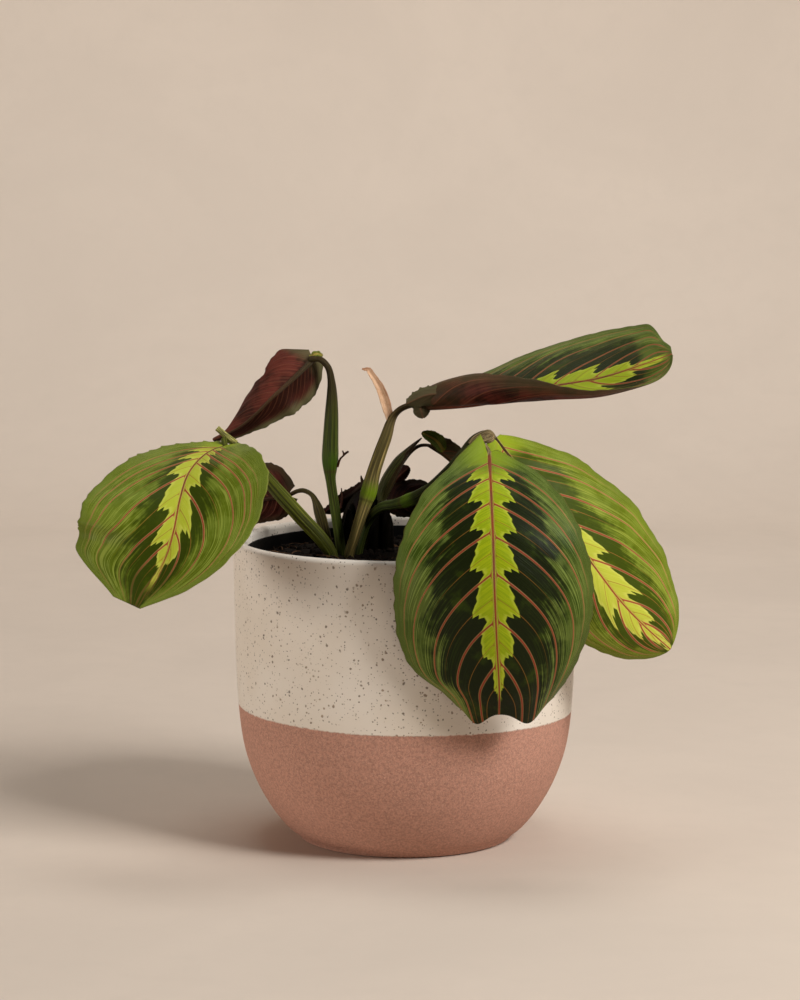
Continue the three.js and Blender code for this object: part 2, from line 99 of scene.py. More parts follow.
# Stems: the points each passes, in millimetres, with its radius there. flat is thickness over width.
# brown is the share of the length, from the top, that is brown. nodes are the place of each swollen node,
# half its length and its colour. blades are the leaves that the stem and its branches go on into as their
# midribs, and rib is the midribs' two colours. The painted-light factor darkens the brown: painted shade
# for strands deep in the plant's shaded crown.
STEMS = {
    "stem_left": {
        "flat": 0.92,
        "points": [
            (-28.6, -9, 112.6, 2.5), (-32.6, -10, 119.3, 2.9), (-40.9, -12, 128.7, 3.1),
            (-50.4, -16, 140.1, 2.9), (-56.8, -20, 148.4, 2.4), (-62.3, -22.5, 154.9, 1.8),
            (-66.6, -23.8, 159, 1.4), (-69.4, -25.4, 160.2, 1.2),
        ],
        "green": (88, 94, 24), "blades": ["leaf_left"],
    },
    "stem_upper_left": {
        "flat": 0.96,
        "points": [
            (-25.3, 4.5, 112.6, 2), (-27.3, 3, 127.1, 2), (-29.2, 2, 140.3, 2), (-29.5, 2, 145.1, 2.7),
            (-29.5, 2, 149.8, 3.3), (-29.3, 2, 156.9, 3.1), (-28.9, 2, 166.7, 2.7), (-28.7, 2, 174.6, 2.1),
            (-29, 2, 180.5, 1.5), (-30.2, 2, 185.4, 1.3), (-33.4, 1.6, 188.6, 1.25),
            (-37.2, 1.2, 188.6, 1.2),
        ],
        "green": (76, 90, 26), "brown": 0.3, "rib": ((64, 42, 26), (94, 70, 44)),
        "nodes": [(0.47, 0.05, (62, 86, 14))], "blades": ["leaf_upper_left"],
    },
    "stem_upper_right": {
        "flat": 0.96,
        "points": [
            (-22, -3.8, 112.8, 2), (-20.2, -3.9, 118.5, 2.1), (-17.9, -3.9, 126, 2.3),
            (-16, -3.6, 131.9, 2.6), (-14.4, -3, 137, 3.3), (-12.4, -3, 144.9, 2.8), (-9.8, -3, 152.7, 2.6),
            (-7.5, -3, 159, 2.4), (-5.9, -3, 164.2, 1.9), (-4, -3, 167.6, 1.4), (-1.3, -3, 169.9, 1.25),
            (2.6, -3, 171.2, 1.2),
        ],
        "green": (150, 134, 76), "brown": 0.2, "nodes": [(0.43, 0.06, (112, 138, 14))],
        "blades": ["leaf_upper_right"],
    },
    "stem_centre": {
        "flat": 0.6,
        "points": [
            (-15.6, 8.5, 112.6, 1.8), (-13.2, 8, 122.8, 2), (-10, 7, 130.8, 2.2), (-6.6, 5.5, 138, 2.5),
            (-3.8, 5, 143.9, 2.3), (-0.6, 4.5, 149.7, 1.8), (2.6, 4, 153.7, 1.1), (6.4, 4, 157.5, 0.45),
        ],
        "branches": [
            [
                (-5, 5, 141.4, 1.1), (-1, 5.4, 147.6, 1.1), (2.2, 5.6, 151.8, 1.1), (5.4, 5.2, 154.2, 1.1),
                (8.7, 4.5, 154.6, 1),
            ],
        ],
        "green": (72, 72, 32), "rib": ((84, 64, 36), (116, 92, 54)), "brown": 0.45,
        "blades": ["", "leaf_centre"],
    },
    "stem_front": {
        "flat": 0.9,
        "points": [
            (-18.4, 2.4, 112.8, 1.9), (-15.4, 1, 123.6, 2), (-9.9, -6, 131.1, 2.1), (-3.7, -12, 133.4, 2.3),
            (0.6, -16, 135.1, 2.9), (4.8, -20, 137.5, 2.7), (10.1, -28, 142.4, 2.1),
            (16.8, -38, 150.5, 1.8), (20.8, -44, 156.4, 1.5), (24.9, -46.8, 162.1, 1.3),
            (28.3, -46, 164.2, 1.2), (31, -45, 164.5, 1.1), (32.7, -44, 163.3, 1),
        ],
        "branches": [
            [
                (20.4, -43.6, 155.8, 1.2), (24.1, -49.4, 159.6, 1.1), (27.2, -52.6, 159.8, 1),
                (29.6, -54.9, 159, 0.9), (30.8, -56.8, 157.9, 0.9),
            ],
        ],
        "green": (66, 80, 26), "brown": 0.15, "nodes": [(0.44, 0.04, (96, 124, 20))],
        "blades": ["leaf_right", "leaf_front"],
    },
    "stem_small_left": {
        "flat": 0.85,
        "points": [
            (-30.6, 18, 112.2, 2.2), (-32.4, 18, 120, 2.5), (-34.2, 18, 126.4, 2.5),
            (-35.9, 18, 131.2, 1.5), (-37.5, 18, 133.6, 1.1), (-40.3, 18, 135, 1.1), (-42.8, 18, 134.8, 1),
            (-44.8, 18.1, 133.9, 1),
        ],
        "green": (96, 86, 42), "rib": ((56, 32, 20), (82, 50, 34)), "brown": 0.1,
        "blades": ["leaf_small_left"],
    },
    # The two back stems and their midribs are painted dark: painted shade, as they stand behind the crown
    # in shade.
    "stem_back_left": {
        "flat": 0.9,
        "points": [
            (-22.5, 13, 112.4, 1.3), (-19.5, 15, 121, 1.3), (-15.5, 17.5, 131, 1.2),
            (-14.6, 19, 135.6, 1.1), (-15.6, 20.4, 137.4, 1),
        ],
        "green": (46, 38, 22), "rib": ((26, 12, 8), (40, 20, 14)), "brown": 0.5,
        "blades": ["leaf_back_left"],
    },
    "stem_back_right": {
        "flat": 0.9,
        "points": [
            (-12, 13, 112.4, 1.6), (-11.6, 13.6, 119, 1.6), (-10.6, 14.6, 125.2, 1.5),
            (-8.9, 15.9, 129.5, 1.2),
        ],
        "green": (34, 36, 18), "rib": ((18, 10, 6), (28, 16, 10)), "brown": 0.2,
        "blades": ["leaf_back_right"],
    },
}

# Small strands that grow on the stems or stand among them, told as stems are.
STRANDS = {
    "centre_sheath": {
        "flat": 0.5,
        "paths": [
            [
                (-10, 6, 132.7, 2.3), (-9.5, 6, 136.7, 3.1), (-7.8, 5.5, 140.7, 3.5),
                (-5.5, 5.2, 144.7, 3.3), (-2.6, 5, 148.7, 3.1), (0.8, 5, 152.6, 1.6), (3.8, 5, 155.4, 0.8),
                (5.9, 5, 157.2, 0.25),
            ],
        ],
        "green": (72, 74, 34), "brown": 0.25, "slot": "green_stem",
    },
    "stalk_stub": {
        "flat": 1.0,
        "paths": [
            [
                (-65, -23.8, 158.5, 1.2), (-67.6, -24.6, 160.5, 1.2), (-69.8, -25, 162.4, 1.15),
                (-72.1, -25, 164.4, 1.1),
            ],
        ],
        "green": (176, 172, 92), "slot": "green_stem",
    },
    "stalk_knot": {
        "flat": 0.9,
        "paths": [
            [
                (23.9, -50, 161, 0.8), (25.8, -50, 162.9, 1.1), (28.3, -50.5, 164.3, 1.2),
                (30.9, -51, 165.4, 1.2), (32.5, -51.5, 164.2, 1.1), (33, -52, 163.1, 0.8),
            ],
            [
                (32.7, -52, 163.8, 0.9), (31.8, -53, 162.7, 1.1), (29.7, -53.5, 162.4, 1.1),
                (27.7, -54, 161.5, 0.9),
            ],
            [
                (27.7, -54, 161.5, 0.9), (28.9, -55.5, 160.9, 1), (30.1, -57, 159.9, 1.1),
                (30.8, -58.5, 158.2, 1), (30.9, -60.5, 157, 0.6),
            ],
            [(27.8, -53, 162.3, 0.8), (29, -53, 163.4, 1), (31.6, -52, 164.3, 0.8)],
        ],
        "green": (152, 132, 90), "slot": "green_stem",
    },
    "dry_twig": {
        "flat": 1.0,
        "paths": [
            [
                (-26.6, 1, 146.4, 0.5), (-25.6, 0.5, 149.4, 0.4), (-24.4, 0, 150.8, 0.35),
                (-23.4, -0.5, 151.9, 0.45), (-22.3, -1, 152.7, 0.4),
            ],
            [(-24.2, -0.3, 151, 0.3), (-24.2, -0.5, 152, 0.35), (-24.6, -0.5, 153, 0.2)],
        ],
        "green": (104, 62, 40), "brown": 0.5, "slot": "dry_bract",
    },
    "dry_hair": {
        "flat": 1.0, "paths": [[(-25.4, 8, 129.3, 0.5), (-25, 8, 133.3, 0.45), (-25.2, 8, 137.2, 0.2)]],
        "green": (96, 52, 36), "slot": "dry_bract",
    },
    # Painted shade: the old sheaths are painted near black for the deep shade of the crown that they stand
    # in.
    "old_sheaths": {
        "flat": 0.75,
        "paths": [
            [
                (x, y, 109, 2.9), (x + 0.3 * lean, y, 115, 2.8),
                (x + 0.7 * lean, y - 0.3, top - 4, 2.2), (x + lean, y - 0.6, top, 0.8),
            ]
            for x, y, lean, top in (
                (-25.5, 9, -1.2, 127), (-22.8, 7, 0.6, 129), (-20.4, 11, -0.8, 131), (-18.2, 8, 1.2, 133),
                (-15.6, 11.5, -0.6, 130), (-13.2, 7.4, 1.4, 133), (-10.8, 10.5, 0.4, 129),
                (-8.6, 7.8, 1.4, 130), (-7, 11, 0.8, 126), (-23.6, 12, 0.8, 126), (-17, 13, 0.2, 128),
            )
        ],
        "green": (8, 6, 3), "dim": 0.1, "gloss": 0.02, "slot": "green_stem",
    },
}


def small_leaf(spine, face, half, **more):
    """A small leaf: whatever it doesn't state is the same for all of them."""
    return {
        "spine": spine, "face": [face], "half": half, "shape": [(0.45, 2.2, 1.8)] * 2, "fold": [(15,)] * 2,
        "curl": [(20,)] * 2, "ripple": (0.5, 3, 0), "lobe": (0.02, 0.02), "sweep": (1.3, 1.3), "band": 2,
        "veins": [(0.06, 0.2, 0.36, 0.54, 0.74)] * 2, "tone": 0.0, **more,
    }


def scrap(spine, face, half, **more):
    """A lobe of a leaf or a dry bract: a small leaf with a narrow base and tip and a smoother edge."""
    plain = {"ripple": (0.3, 3, 0), "lobe": (0, 0), "base": 1, "tip": 0.3, "fray": 0.06}
    return small_leaf(spine, face, half, **{**plain, **more})


# Leaves. spine is the midrib, face the way the upper side looks, half the half widths, shape the place of
# the widest point and the fullness before and after it; widths gives evenly spaced half widths instead.
# fold and curl are the angles of each half at the midrib and added by its margin; the left half comes
# first. lobe is how far each half's base reaches back. ripple is the margin's wave: its height, count and
# phase. Each notch moves the blade near (u, v) by so much along, across and up, and teeth stand on a side's
# margin between two shares. veins are where the main side veins leave the midrib in each half, sweep how
# far they lean to the tip, vein_end where they fade. blotch is how far out the dark blotches reach, plain
# where they end, start and tail where the pale band, band millimetres wide, grows in and narrows. tone goes
# from deep green to pale. The painted-light factor scales all the colours: painted shade below one, for
# leaves that stand in the plant's shade, and painted light above one.
LEAVES = {
    "leaf_front": {
        "spine": [
            (31.1, -58, 158.8), (31.3, -75, 147.7), (31.8, -87, 130.8), (32.3, -91, 111.9),
            (33.2, -89, 93.4), (34.4, -83, 74), (34.6, -74.8, 61.4),
        ],
        "face": [(-0.05, -0.9, 0.44), (-0.1, -0.95, 0.2), (0, -0.6, -0.75)], "half": (40, 38),
        "shape": [(0.56, 1.6, 3.6), (0.53, 1.6, 2.9)], "fold": [(0, -4, -8)] * 2,
        "curl": [(-5, -15, -30), (-15, -30, -40)], "ripple": (0.9, 3, 0.4), "tip": 9.3, "fray": 0.24,
        "widths": {
            0: (3, 14.5, 25, 31, 35, 37.3, 38.6, 39.2, 39, 37.5, 33.5, 24, 17),
            1: (3, 16.5, 24.7, 30.3, 34, 36.5, 37.8, 38, 37, 34.4, 30.6, 27.2, 24),
        },
        "notches": [
            (1, 0, 0.09, 0.25, (-2, 0, 0)), (0, -1, 0.07, 0.6, (0, 0, 3.4)),
            (1, -0.52, 0.06, 0.26, (5.2, 0, 0)), (1, 0.5, 0.06, 0.24, (6.2, 0, 0)),
        ],
        "blotch": 0.62, "lobe": (0.055, 0.01),
        "veins": [
            (0.055, 0.13, 0.222, 0.315, 0.445, 0.605, 0.745), (0.06, 0.14, 0.225, 0.33, 0.445, 0.6, 0.735),
        ],
        "sweep": (1, 1), "band": 8.4, "tail": (0.62, 0.84), "tone": 0.0,
    },
    "leaf_right": {
        "spine": [
            (33.8, -43.5, 162.6), (42.8, -53, 151.5), (54.9, -56, 136), (69.2, -53, 117.1),
            (80.9, -48, 101.3), (90.9, -43, 90.4), (101, -39, 81),
        ],
        "face": [(0.45, -0.6, 0.65), (0.3, -0.9, 0.3)], "half": (25, 33.5),
        "shape": [(0.5, 2, 1.6), (0.53, 1.5, 1.6)], "fold": [(-5, -8, -10), (5,)],
        "curl": [(-42, -48, -52), (-6, -11, -16)], "ripple": (0.8, 4, 1), "lobe": (0, 0.01),
        "veins": [(0.06, 0.15, 0.25, 0.36, 0.49, 0.65, 0.79), (0.05, 0.14, 0.25, 0.36, 0.49, 0.66, 0.8)],
        "sweep": (1.1, 1.5), "blotch": 0.5, "band": 8.5, "start": (0.36, 0.44), "tail": (0.7, 0.97),
        "tone": 0.8,
    },
    "leaf_left": {
        "spine": [
            (-68.5, -27.6, 158), (-75.8, -34, 155.4), (-81.5, -46, 149.5), (-84.3, -56, 140.5),
            (-86.1, -64, 129.9), (-89.4, -70, 119.1), (-98.7, -76, 102.9),
        ],
        "face": [(-0.16, -0.31, 0.94), (0.07, -0.33, 0.94)], "half": (39.3, 37.5),
        "shape": [(0.66, 1.55, 2.9), (0.51, 2, 1.3)],
        "widths": {
            0: (5, 11.5, 20, 25, 28.5, 33, 35.6, 36.7, 37.3, 38.2, 38.2, 34.5, 12),
            1: (7, 16.5, 23, 28.4, 33.5, 36.7, 37.3, 36, 34, 32, 27, 17, 1.5),
        },
        "blotch": 0.36, "fold": [(2,), (13,)], "curl": [(-2,), (7,)], "ripple": (0.9, 4, 0), "fray": 0.22,
        "teeth": [(-1, 0.0, 0.3, 15, 1.5)], "lobe": (0.02, 0.02),
        "veins": [
            (0.06, 0.135, 0.215, 0.345, 0.565, 0.72, 0.88), (0.05, 0.11, 0.165, 0.255, 0.43, 0.655, 0.835),
        ],
        "sweep": (2, 2.2), "band": 7.4, "tail": (0.76, 0.88), "vein_end": (0.8, 0.93), "tone": 0.55,
    },
    "leaf_upper_right": {
        "spine": [
            (3.4, -3, 170.8), (22.7, -9, 172), (40.3, -15, 175.4), (57.5, -18, 179.9), (74.6, -20, 183.1),
            (89.7, -22, 188), (101.8, -24, 192.6),
        ],
        "face": [(-0.27, -0.55, 0.79)], "half": (22, 37), "shape": [(0.6, 6, 3.7), (0.45, 1.8, 3.6)],
        "widths": {1: (3, 20, 28, 33.5, 36, 37.2, 38.4, 39, 38, 36, 32.5, 27, 6)}, "blotch": 0.62,
        "plain": (0.82, 0.88), "fold": [(43, -23, -10), (-8, -8, -8)],
        "curl": [(243, 135, 35), (-20, -12, 0)], "ripple": (0.5, 3, 0),
        "notches": [(0.965, 1, 0.02, 0.2, (0, -2.4, 0))], "green_base": 0.3, "dim": 0.9, "lobe": (0, 0.01),
        "veins": [(0.05, 0.14, 0.24, 0.35, 0.48, 0.62, 0.78), (0.05, 0.14, 0.24, 0.35, 0.49, 0.64, 0.8)],
        "sweep": (1.3, 1.3), "band": 10, "tone": 0.1,
    },
    "leaf_upper_left": {
        "spine": [
            (-35.6, 3.8, 188.8), (-43.4, -2, 181.6), (-51.8, -6, 174.1), (-62.5, -4, 163.8),
            (-75.3, 2, 156.9),
        ],
        "face": [(0, 0.85, 0.53)], "half": (13.8, 13.7), "shape": [(0.3, 3.4, 1.2), (0.3, 3.5, 1.2)],
        "widths": {
            0: (5, 10.5, 12.2, 13, 12.8, 11.8, 11, 9.6, 7, 5.6, 5.2, 3.4, 1.5),
            1: (5, 15.3, 16.4, 15, 14.4, 14.8, 15.4, 16.5, 17, 15, 10, 2.6, 1.2),
        },
        "fold": [(3, 8, 18), (59, 64, 74)], "curl": [(-13, -13, -3), (37, 37, 42)], "ripple": (0.9, 4, 0),
        # Painted shade: the lower half of the underside is painted near its darkest maroon, as it faces
        # down out of the light.
        "painted_shade": 0.95, "maroon_side": 1.0, "green_rim": 1.0, "under_veins": 0.22, "lobe": (0.05, 0.05),
        "veins": [(0.04, 0.12, 0.21, 0.31, 0.43, 0.57, 0.74)] * 2, "sweep": (1.2, 1.2), "band": 3,
        "tone": 0.2,
    },
    # Painted light: this leaf's colours are raised above its own, to lighten it in the plant's shade.
    "leaf_centre": small_leaf(
        [(9.7, 4.3, 154.7), (16.3, 3.5, 150.2), (24.5, 0, 142.4), (32.2, -3, 133.3), (37, -6, 124.5)],
        (0.3, 0.75, 0.6), (6.5, 10), shape=[(0.35, 3.4, 1.7), (0.4, 2.2, 1.7)], fold=[(35, 40, 45)] * 2,
        ripple=(0.6, 3, 0), veins=[(0.06, 0.17, 0.29, 0.42, 0.57, 0.75)] * 2, tone=0.2, dim=1.3,
        green_base=1.6, green_rim=0.9,
    ),
    "leaf_small_left": small_leaf(
        [(-46.1, 18.2, 133.3), (-53, 19, 132), (-61, 20, 130.3), (-69, 20.5, 127.8), (-75.6, 20.5, 124.4)],
        (0, 0.95, 0.25), (12, 14.5), shape=[(0.4, 3, 1.8), (0.4, 3.6, 1.8)], fold=[(8,)] * 2,
        lobe=(0.1, 0.1), veins=[(0.06, 0.17, 0.29, 0.42, 0.57, 0.75)] * 2, band=3, tone=0.1, dim=0.8,
    ),
    # The two back leaves are painted dark: painted shade, as they stand low behind the crown in shade.
    "leaf_back_left": small_leaf(
        [(-16, 21, 138.1), (-21.6, 22, 133.5), (-25.7, 23, 130.6), (-29.3, 24.5, 127.6), (-32.9, 26, 125)],
        (-0.2, 0.85, 0.5), (13, 2.4), dim=0.4,
    ),
    "leaf_back_right": small_leaf(
        [
            (-7.2, 16.6, 130.2), (-2.6, 18, 130.6), (3.8, 20, 130.8), (9.8, 21, 129.6), (16, 21, 127.2),
            (21.8, 20, 123.6),
        ],
        (0, 0.95, 0.1), (8.5, 8.5), shape=[(0.3, 3.2, 2), (0.5, 2.2, 2)], fold=[(10,)] * 2, dim=0.25,
    ),
}

BRACT = scrap(
    [
        (-6.2, -3, 164), (-6.9, -3, 168.2), (-8.7, -3, 174.1), (-10.9, -3, 179.4), (-13.8, -2.5, 183.8),
        (-14.7, -2.2, 184.9), (-16.9, -2, 185.1),
    ],
    (0.3, -0.9, 0.2), (2.3, 2.3), shape=[(0.33, 1.7, 0.6)] * 2, fold=[(15,)] * 2,
)

# Lobes that belong to the leaves: curled corners of their bases, and bits of blade that stand behind them.
LOBES = {
    "upper_right_base_flap": scrap(
        [(22, -11, 174.2), (15, -10.6, 176), (8, -10, 175.6), (0.4, -9.4, 172.2)], (0, 0.9, 0.1),
        (5.4, 3.2), shape=[(0.6, 1.6, 1.5), (0.7, 2, 1.8)], green_rim=1.0, green_base=9.0, under_veins=0.3,
        dim=0.8, teeth=[(-1, 0.45, 1.0, 9, 0.6), (1, 0.45, 1.0, 9, 0.6)],
    ),
    "upper_right_base_lobe": scrap(
        [(5.4, -5, 172.4), (6.2, -6, 169.1), (7, -6, 166.3)], (0, 0.9, 0.2), (3.8, 3.6), green_rim=1.0,
        green_base=9.0, under_veins=0.3, dim=0.8,
    ),
    "centre_leaf_lobe": scrap(
        [(15, 3, 152.4), (12, 2, 156.6), (6.4, 2, 159.8)], (0.2, -0.9, 0.3), (3.2, 3), tone=0.1, band=0.1,
        blotch=-1.0, vein_strength=0.3,
    ),
    "upper_left_rolled_lobe": scrap(
        [(-37, 2.4, 189.2), (-34.8, 2.2, 190.6), (-32.2, 2, 190)], (0, -0.8, 0.6), (1.4, 1.3), tone=0.5,
        band=0.1, blotch=-1.0, vein_strength=0.2,
    ),
    # Painted shade: this tip is painted dark, as it stands behind the crown in shade.
    "back_right_tip": scrap(
        [(-4.4, 18.6, 138.4), (-1.6, 18.6, 141.4), (1.6, 18.4, 144.4)], (0, 0.95, 0.2), (3.6, 3.2), dim=0.5,
    ),
    # Painted shade: the old crown leaf is painted near black for the deep shade inside the crown.
    "old_crown_leaf": scrap(
        [(-16.5, 16, 107), (-16, 15.6, 120), (-14.6, 15, 136)], (0, 0.95, 0.1), (11, 10), dim=0.12,
    ),
}

# How the side veins bend: for a vein that leaves the midrib at each start, the share of the half width
# that it nears, and the share of the length in which it gets most of the way.
VEIN_START = (-0.6, 0.055, 0.13, 0.22, 0.315, 0.445, 0.605, 0.745, 1)
VEIN_REACH = (1.0, 0.985, 0.96, 0.93, 0.88, 0.78, 0.6, 0.42, 0.1)
VEIN_LEAN = (0.085, 0.085, 0.1, 0.11, 0.13, 0.17, 0.15, 0.14, 0.1)

# Blades: rows and columns of the grid of a large leaf, a small one and the bract. A leaf is large when its
# right half is wider than LARGE_HALF. QUILT is how high a blade swells between its side veins.
LARGE_GRID = (170, 96)
SMALL_GRID = (90, 48)
BRACT_GRID = (40, 12)
LARGE_HALF = 20
BRACT_THICKNESS = 0.35
QUILT = 0.32

# Stems and strands: how deep a stem stands below its first point, the distance between the rings of their
# tubes, and their ridges.
STEM_FOOT = 5
STEM_STEP = 0.8
STEM_RIDGES = {"Ridges": 7.0, "Ridge depth": 0.035}
STRAND_STEP = 0.5
STRAND_RIDGES = {"Ridges": 5.0, "Ridge depth": 0.06}
STRAND_SIDES = 20

# The pale band's outline from one side vein to the next: a place between them and the band's reach there.
BAND_LOBE = (
    (0, 0.72), (0.08, 0.62), (0.2, 0.84), (0.3, 0.8), (0.44, 0.98), (0.56, 1.04), (0.6, 0.72), (0.68, 0.76),
    (0.74, 0.48), (0.88, 0.4), (1, 0.7),
)


def paint(red, green, blue):
    """A colour given as it looks on screen, 0 to 255, as the linear values that a shader takes."""
    shares = [channel / 255 for channel in (red, green, blue)]
    return (*[s / 12.92 if s <= 0.04045 else ((s + 0.055) / 1.055) ** 2.4 for s in shares], 1.0)


def opaque(colour):
    """A colour property as a shader takes it."""
    return (*colour, 1.0)


def deepened(colour, share):
    """A colour property with its values on screen lowered to a share."""
    screen = [12.92 * c if c <= 0.0031308 else 1.055 * c ** (1 / 2.4) - 0.055 for c in colour]
    return paint(*[255 * c * share for c in screen])


def maths(operation, *fixed):
    """A method of Wire that adds one Math node."""
    return lambda self, *others: self.math(operation, *fixed, *others)


class Wire:
    """A socket of a node tree that takes part in Python expressions."""

    def __init__(self, nodes, socket):
        self.nodes = nodes
        self.socket = socket

    def math(self, operation, *others):
        return self.nodes.add("ShaderNodeMath", {"operation": operation}, dict(enumerate([self, *others])))

    __add__ = __radd__ = maths("ADD")
    __sub__ = maths("SUBTRACT")
    __rsub__ = maths("MULTIPLY_ADD", -1.0)
    __mul__ = __rmul__ = maths("MULTIPLY")
    __abs__ = maths("ABSOLUTE")
    sine, cosine = maths("SINE"), maths("COSINE")
    fraction, rounded = maths("FRACT"), maths("ROUND")
    lowest, highest = maths("MINIMUM"), maths("MAXIMUM")

    def rise(self, low, high, bottom=0.0, top=1.0):
        """Goes smoothly from bottom to top as the value goes from low to high."""
        settings = {"interpolation_type": "SMOOTHSTEP"}
        return self.nodes.add("ShaderNodeMapRange", settings, {0: self, 1: low, 2: high, 3: bottom, 4: top})

    def fall(self, low, high, top=1.0):
        """Goes smoothly from top to 0."""
        return self.rise(low, high, top, 0.0)


class Nodes:
    """A node tree, with one method that adds a node to it."""

    def __init__(self, tree):
        self.tree = tree

    def add(self, kind, settings=None, inputs=None, output=0):
        """Adds a node: its settings are set first, then the values or links of its inputs."""
        node = self.tree.nodes.new(kind)
        for name, value in (settings or {}).items():
            if name == "stops":
                ramp = node.color_ramp
                while len(ramp.elements) < len(value):
                    ramp.elements.new(0.5)
                for element, (place, colour) in zip(ramp.elements, value):
                    element.position = place
                    element.color = colour
            else:
                setattr(node, name, value)
        for name, value in (inputs or {}).items():
            self.feed(node.inputs[name], value)
        return Wire(self, node.outputs[output])

    def feed(self, socket, value):
        """Links a wire to a socket, or sets the socket's value."""
        if isinstance(value, Wire):
            self.tree.links.new(value.socket, socket)
        else:
            socket.default_value = value

    def axis(self, vector, index):
        return self.add("ShaderNodeSeparateXYZ", inputs={0: vector}, output=index)

    def vector(self, x, y, z):
        return self.add("ShaderNodeCombineXYZ", inputs={0: x, 1: y, 2: z})

    def vector_math(self, operation, inputs):
        return self.add("ShaderNodeVectorMath", {"operation": operation}, inputs)


class Finish(Nodes):
    """A material, with the nodes that its surface is made of."""

    def __init__(self, name, gloss):
        self.material = bpy.data.materials.new(name)
        self.material.use_nodes = True
        super().__init__(self.material.node_tree)
        self.shader = self.tree.nodes["Principled BSDF"]
        self.shader.inputs["Specular IOR Level"].default_value = gloss

    def attribute(self, name):
        return self.add("ShaderNodeAttribute", {"attribute_name": name}, output="Fac")

    def place(self):
        return self.add("ShaderNodeTexCoord", output="Object")

    def noise(self, vector, scale, detail=2.0, roughness=0.5, distortion=0.0):
        inputs = {"Vector": vector, "Scale": scale, "Detail": detail, "Roughness": roughness}
        return self.add("ShaderNodeTexNoise", inputs={**inputs, "Distortion": distortion}, output="Fac")

    def cells(self, vector, scale, output="Distance"):
        return self.add("ShaderNodeTexVoronoi", inputs={"Vector": vector, "Scale": scale}, output=output)

    def blend(self, share, first, second):
        return self.add("ShaderNodeMix", {"data_type": "RGBA"}, {0: share, 6: first, 7: second}, output=2)

    def layers(self, colour, *coats):
        """A colour under coats, each a share and the colour that it covers with."""
        for share, coat in coats:
            colour = self.blend(share, colour, coat)
        return colour

    def ramp(self, value, stops):
        grey = [(place, (level, level, level, 1.0)) for place, level in stops]
        colour = self.add("ShaderNodeValToRGB", {"stops": grey}, {0: value})
        return self.add("ShaderNodeRGBToBW", inputs={0: colour})

    def bump(self, height, distance, strength):
        inputs = {"Height": height, "Distance": distance, "Strength": strength}
        return self.add("ShaderNodeBump", inputs=inputs)

    def wear(self, colour, roughness, normal=None):
        """Gives the surface what changes over it."""
        self.feed(self.shader.inputs["Base Color"], colour)
        self.feed(self.shader.inputs["Roughness"], roughness)
        if normal is not None:
            self.feed(self.shader.inputs["Normal"], normal)
        return self.material


class Tree(Nodes):
    """A geometry tree with named inputs, the last of them a material."""

    def __init__(self, name, inputs):
        super().__init__(bpy.data.node_groups.new(name, "GeometryNodeTree"))
        sockets = self.tree.interface
        for title, kind in {"Geometry": "Geometry", **inputs, "Material": "Material"}.items():
            sockets.new_socket(title, in_out="INPUT", socket_type=f"NodeSocket{kind}")
        sockets.new_socket("Geometry", in_out="OUTPUT", socket_type="NodeSocketGeometry")
        source = self.tree.nodes.new("NodeGroupInput")
        self.given = {socket.name: Wire(self, socket) for socket in source.outputs if socket.name}

    def spread(self):
        """Random points on the faces of the input surface."""
        given, settings = self.given, {"distribute_method": "RANDOM"}
        inputs = {"Mesh": given["Geometry"], "Density": given["Density"], "Seed": given["Seed"]}
        return self.add("GeometryNodeDistributePointsOnFaces", settings, inputs, "Points")

    def random(self, low, high, step):
        """A random number between low and high, or a random vector where they are vectors."""
        seed = self.given["Seed"] + step
        if isinstance(low, tuple):
            kind, inputs, output = "FLOAT_VECTOR", {0: low, 1: high, "Seed": seed}, 0
        else:
            kind, inputs, output = "FLOAT", {2: low, 3: high, "Seed": seed}, 1
        return self.add("FunctionNodeRandomValue", {"data_type": kind}, inputs, output)

    def copies(self, points, piece, turn, scale):
        """The piece at each point, turned and scaled."""
        inputs = {"Points": points, "Instance": piece, "Rotation": turn, "Scale": scale}
        placed = self.add("GeometryNodeInstanceOnPoints", inputs=inputs)
        return self.add("GeometryNodeRealizeInstances", inputs={0: placed})

    def ring(self, sides):
        """A round profile of radius 1."""
        inputs = {"Resolution": sides, "Radius": 1.0}
        return self.add("GeometryNodeCurvePrimitiveCircle", {"mode": "RADIUS"}, inputs)

    def moved(self, geometry, socket, vector):
        """The geometry with its points at a Position, or moved by an Offset."""
        return self.add("GeometryNodeSetPosition", inputs={"Geometry": geometry, socket: vector})

    def tube(self, curve, profile, girth):
        """A closed tube along a curve, with the profile scaled by girth."""
        inputs = {"Curve": curve, "Profile Curve": profile, "Scale": girth, "Fill Caps": True}
        return self.add("GeometryNodeCurveToMesh", inputs=inputs)

    def end(self, geometry):
        """Finishes the tree: what it placed is made real, smooth and of its material."""
        whole = self.add("GeometryNodeRealizeInstances", inputs={0: geometry})
        whole = self.add("GeometryNodeSetShadeSmooth", inputs={"Geometry": whole})
        inputs = {"Geometry": whole, "Material": self.given["Material"]}
        whole = self.add("GeometryNodeSetMaterial", inputs=inputs)
        self.feed(self.tree.nodes.new("NodeGroupOutput").inputs[0], whole)
        return self.tree


def along(values, share):
    """Numbers or vectors at each share of 0 to 1 on the smooth curve through the given ones."""
    knots = np.array(values, float)
    if knots.ndim == 1:
        knots = knots[:, None]
    if len(knots) == 1:
        knots = np.repeat(knots, 2, axis=0)
    spans = len(knots) - 1
    place = np.clip(np.asarray(share, float), 0, 1) * spans
    index = np.minimum(place.astype(int), spans - 1)
    f = (place - index)[..., None]
    padded = np.vstack([2 * knots[0] - knots[1], knots, 2 * knots[-1] - knots[-2]])
    a, b, c, d = (padded[index + step] for step in range(4))
    return 0.5 * (2 * b + (c - a) * f + (2 * a - 5 * b + 4 * c - d) * f**2 + (3 * b - a - 3 * c + d) * f**3)


def unit(vectors):
    """The vectors at a length of one."""
    return vectors / np.maximum(np.linalg.norm(vectors, axis=-1, keepdims=True), 1e-9)


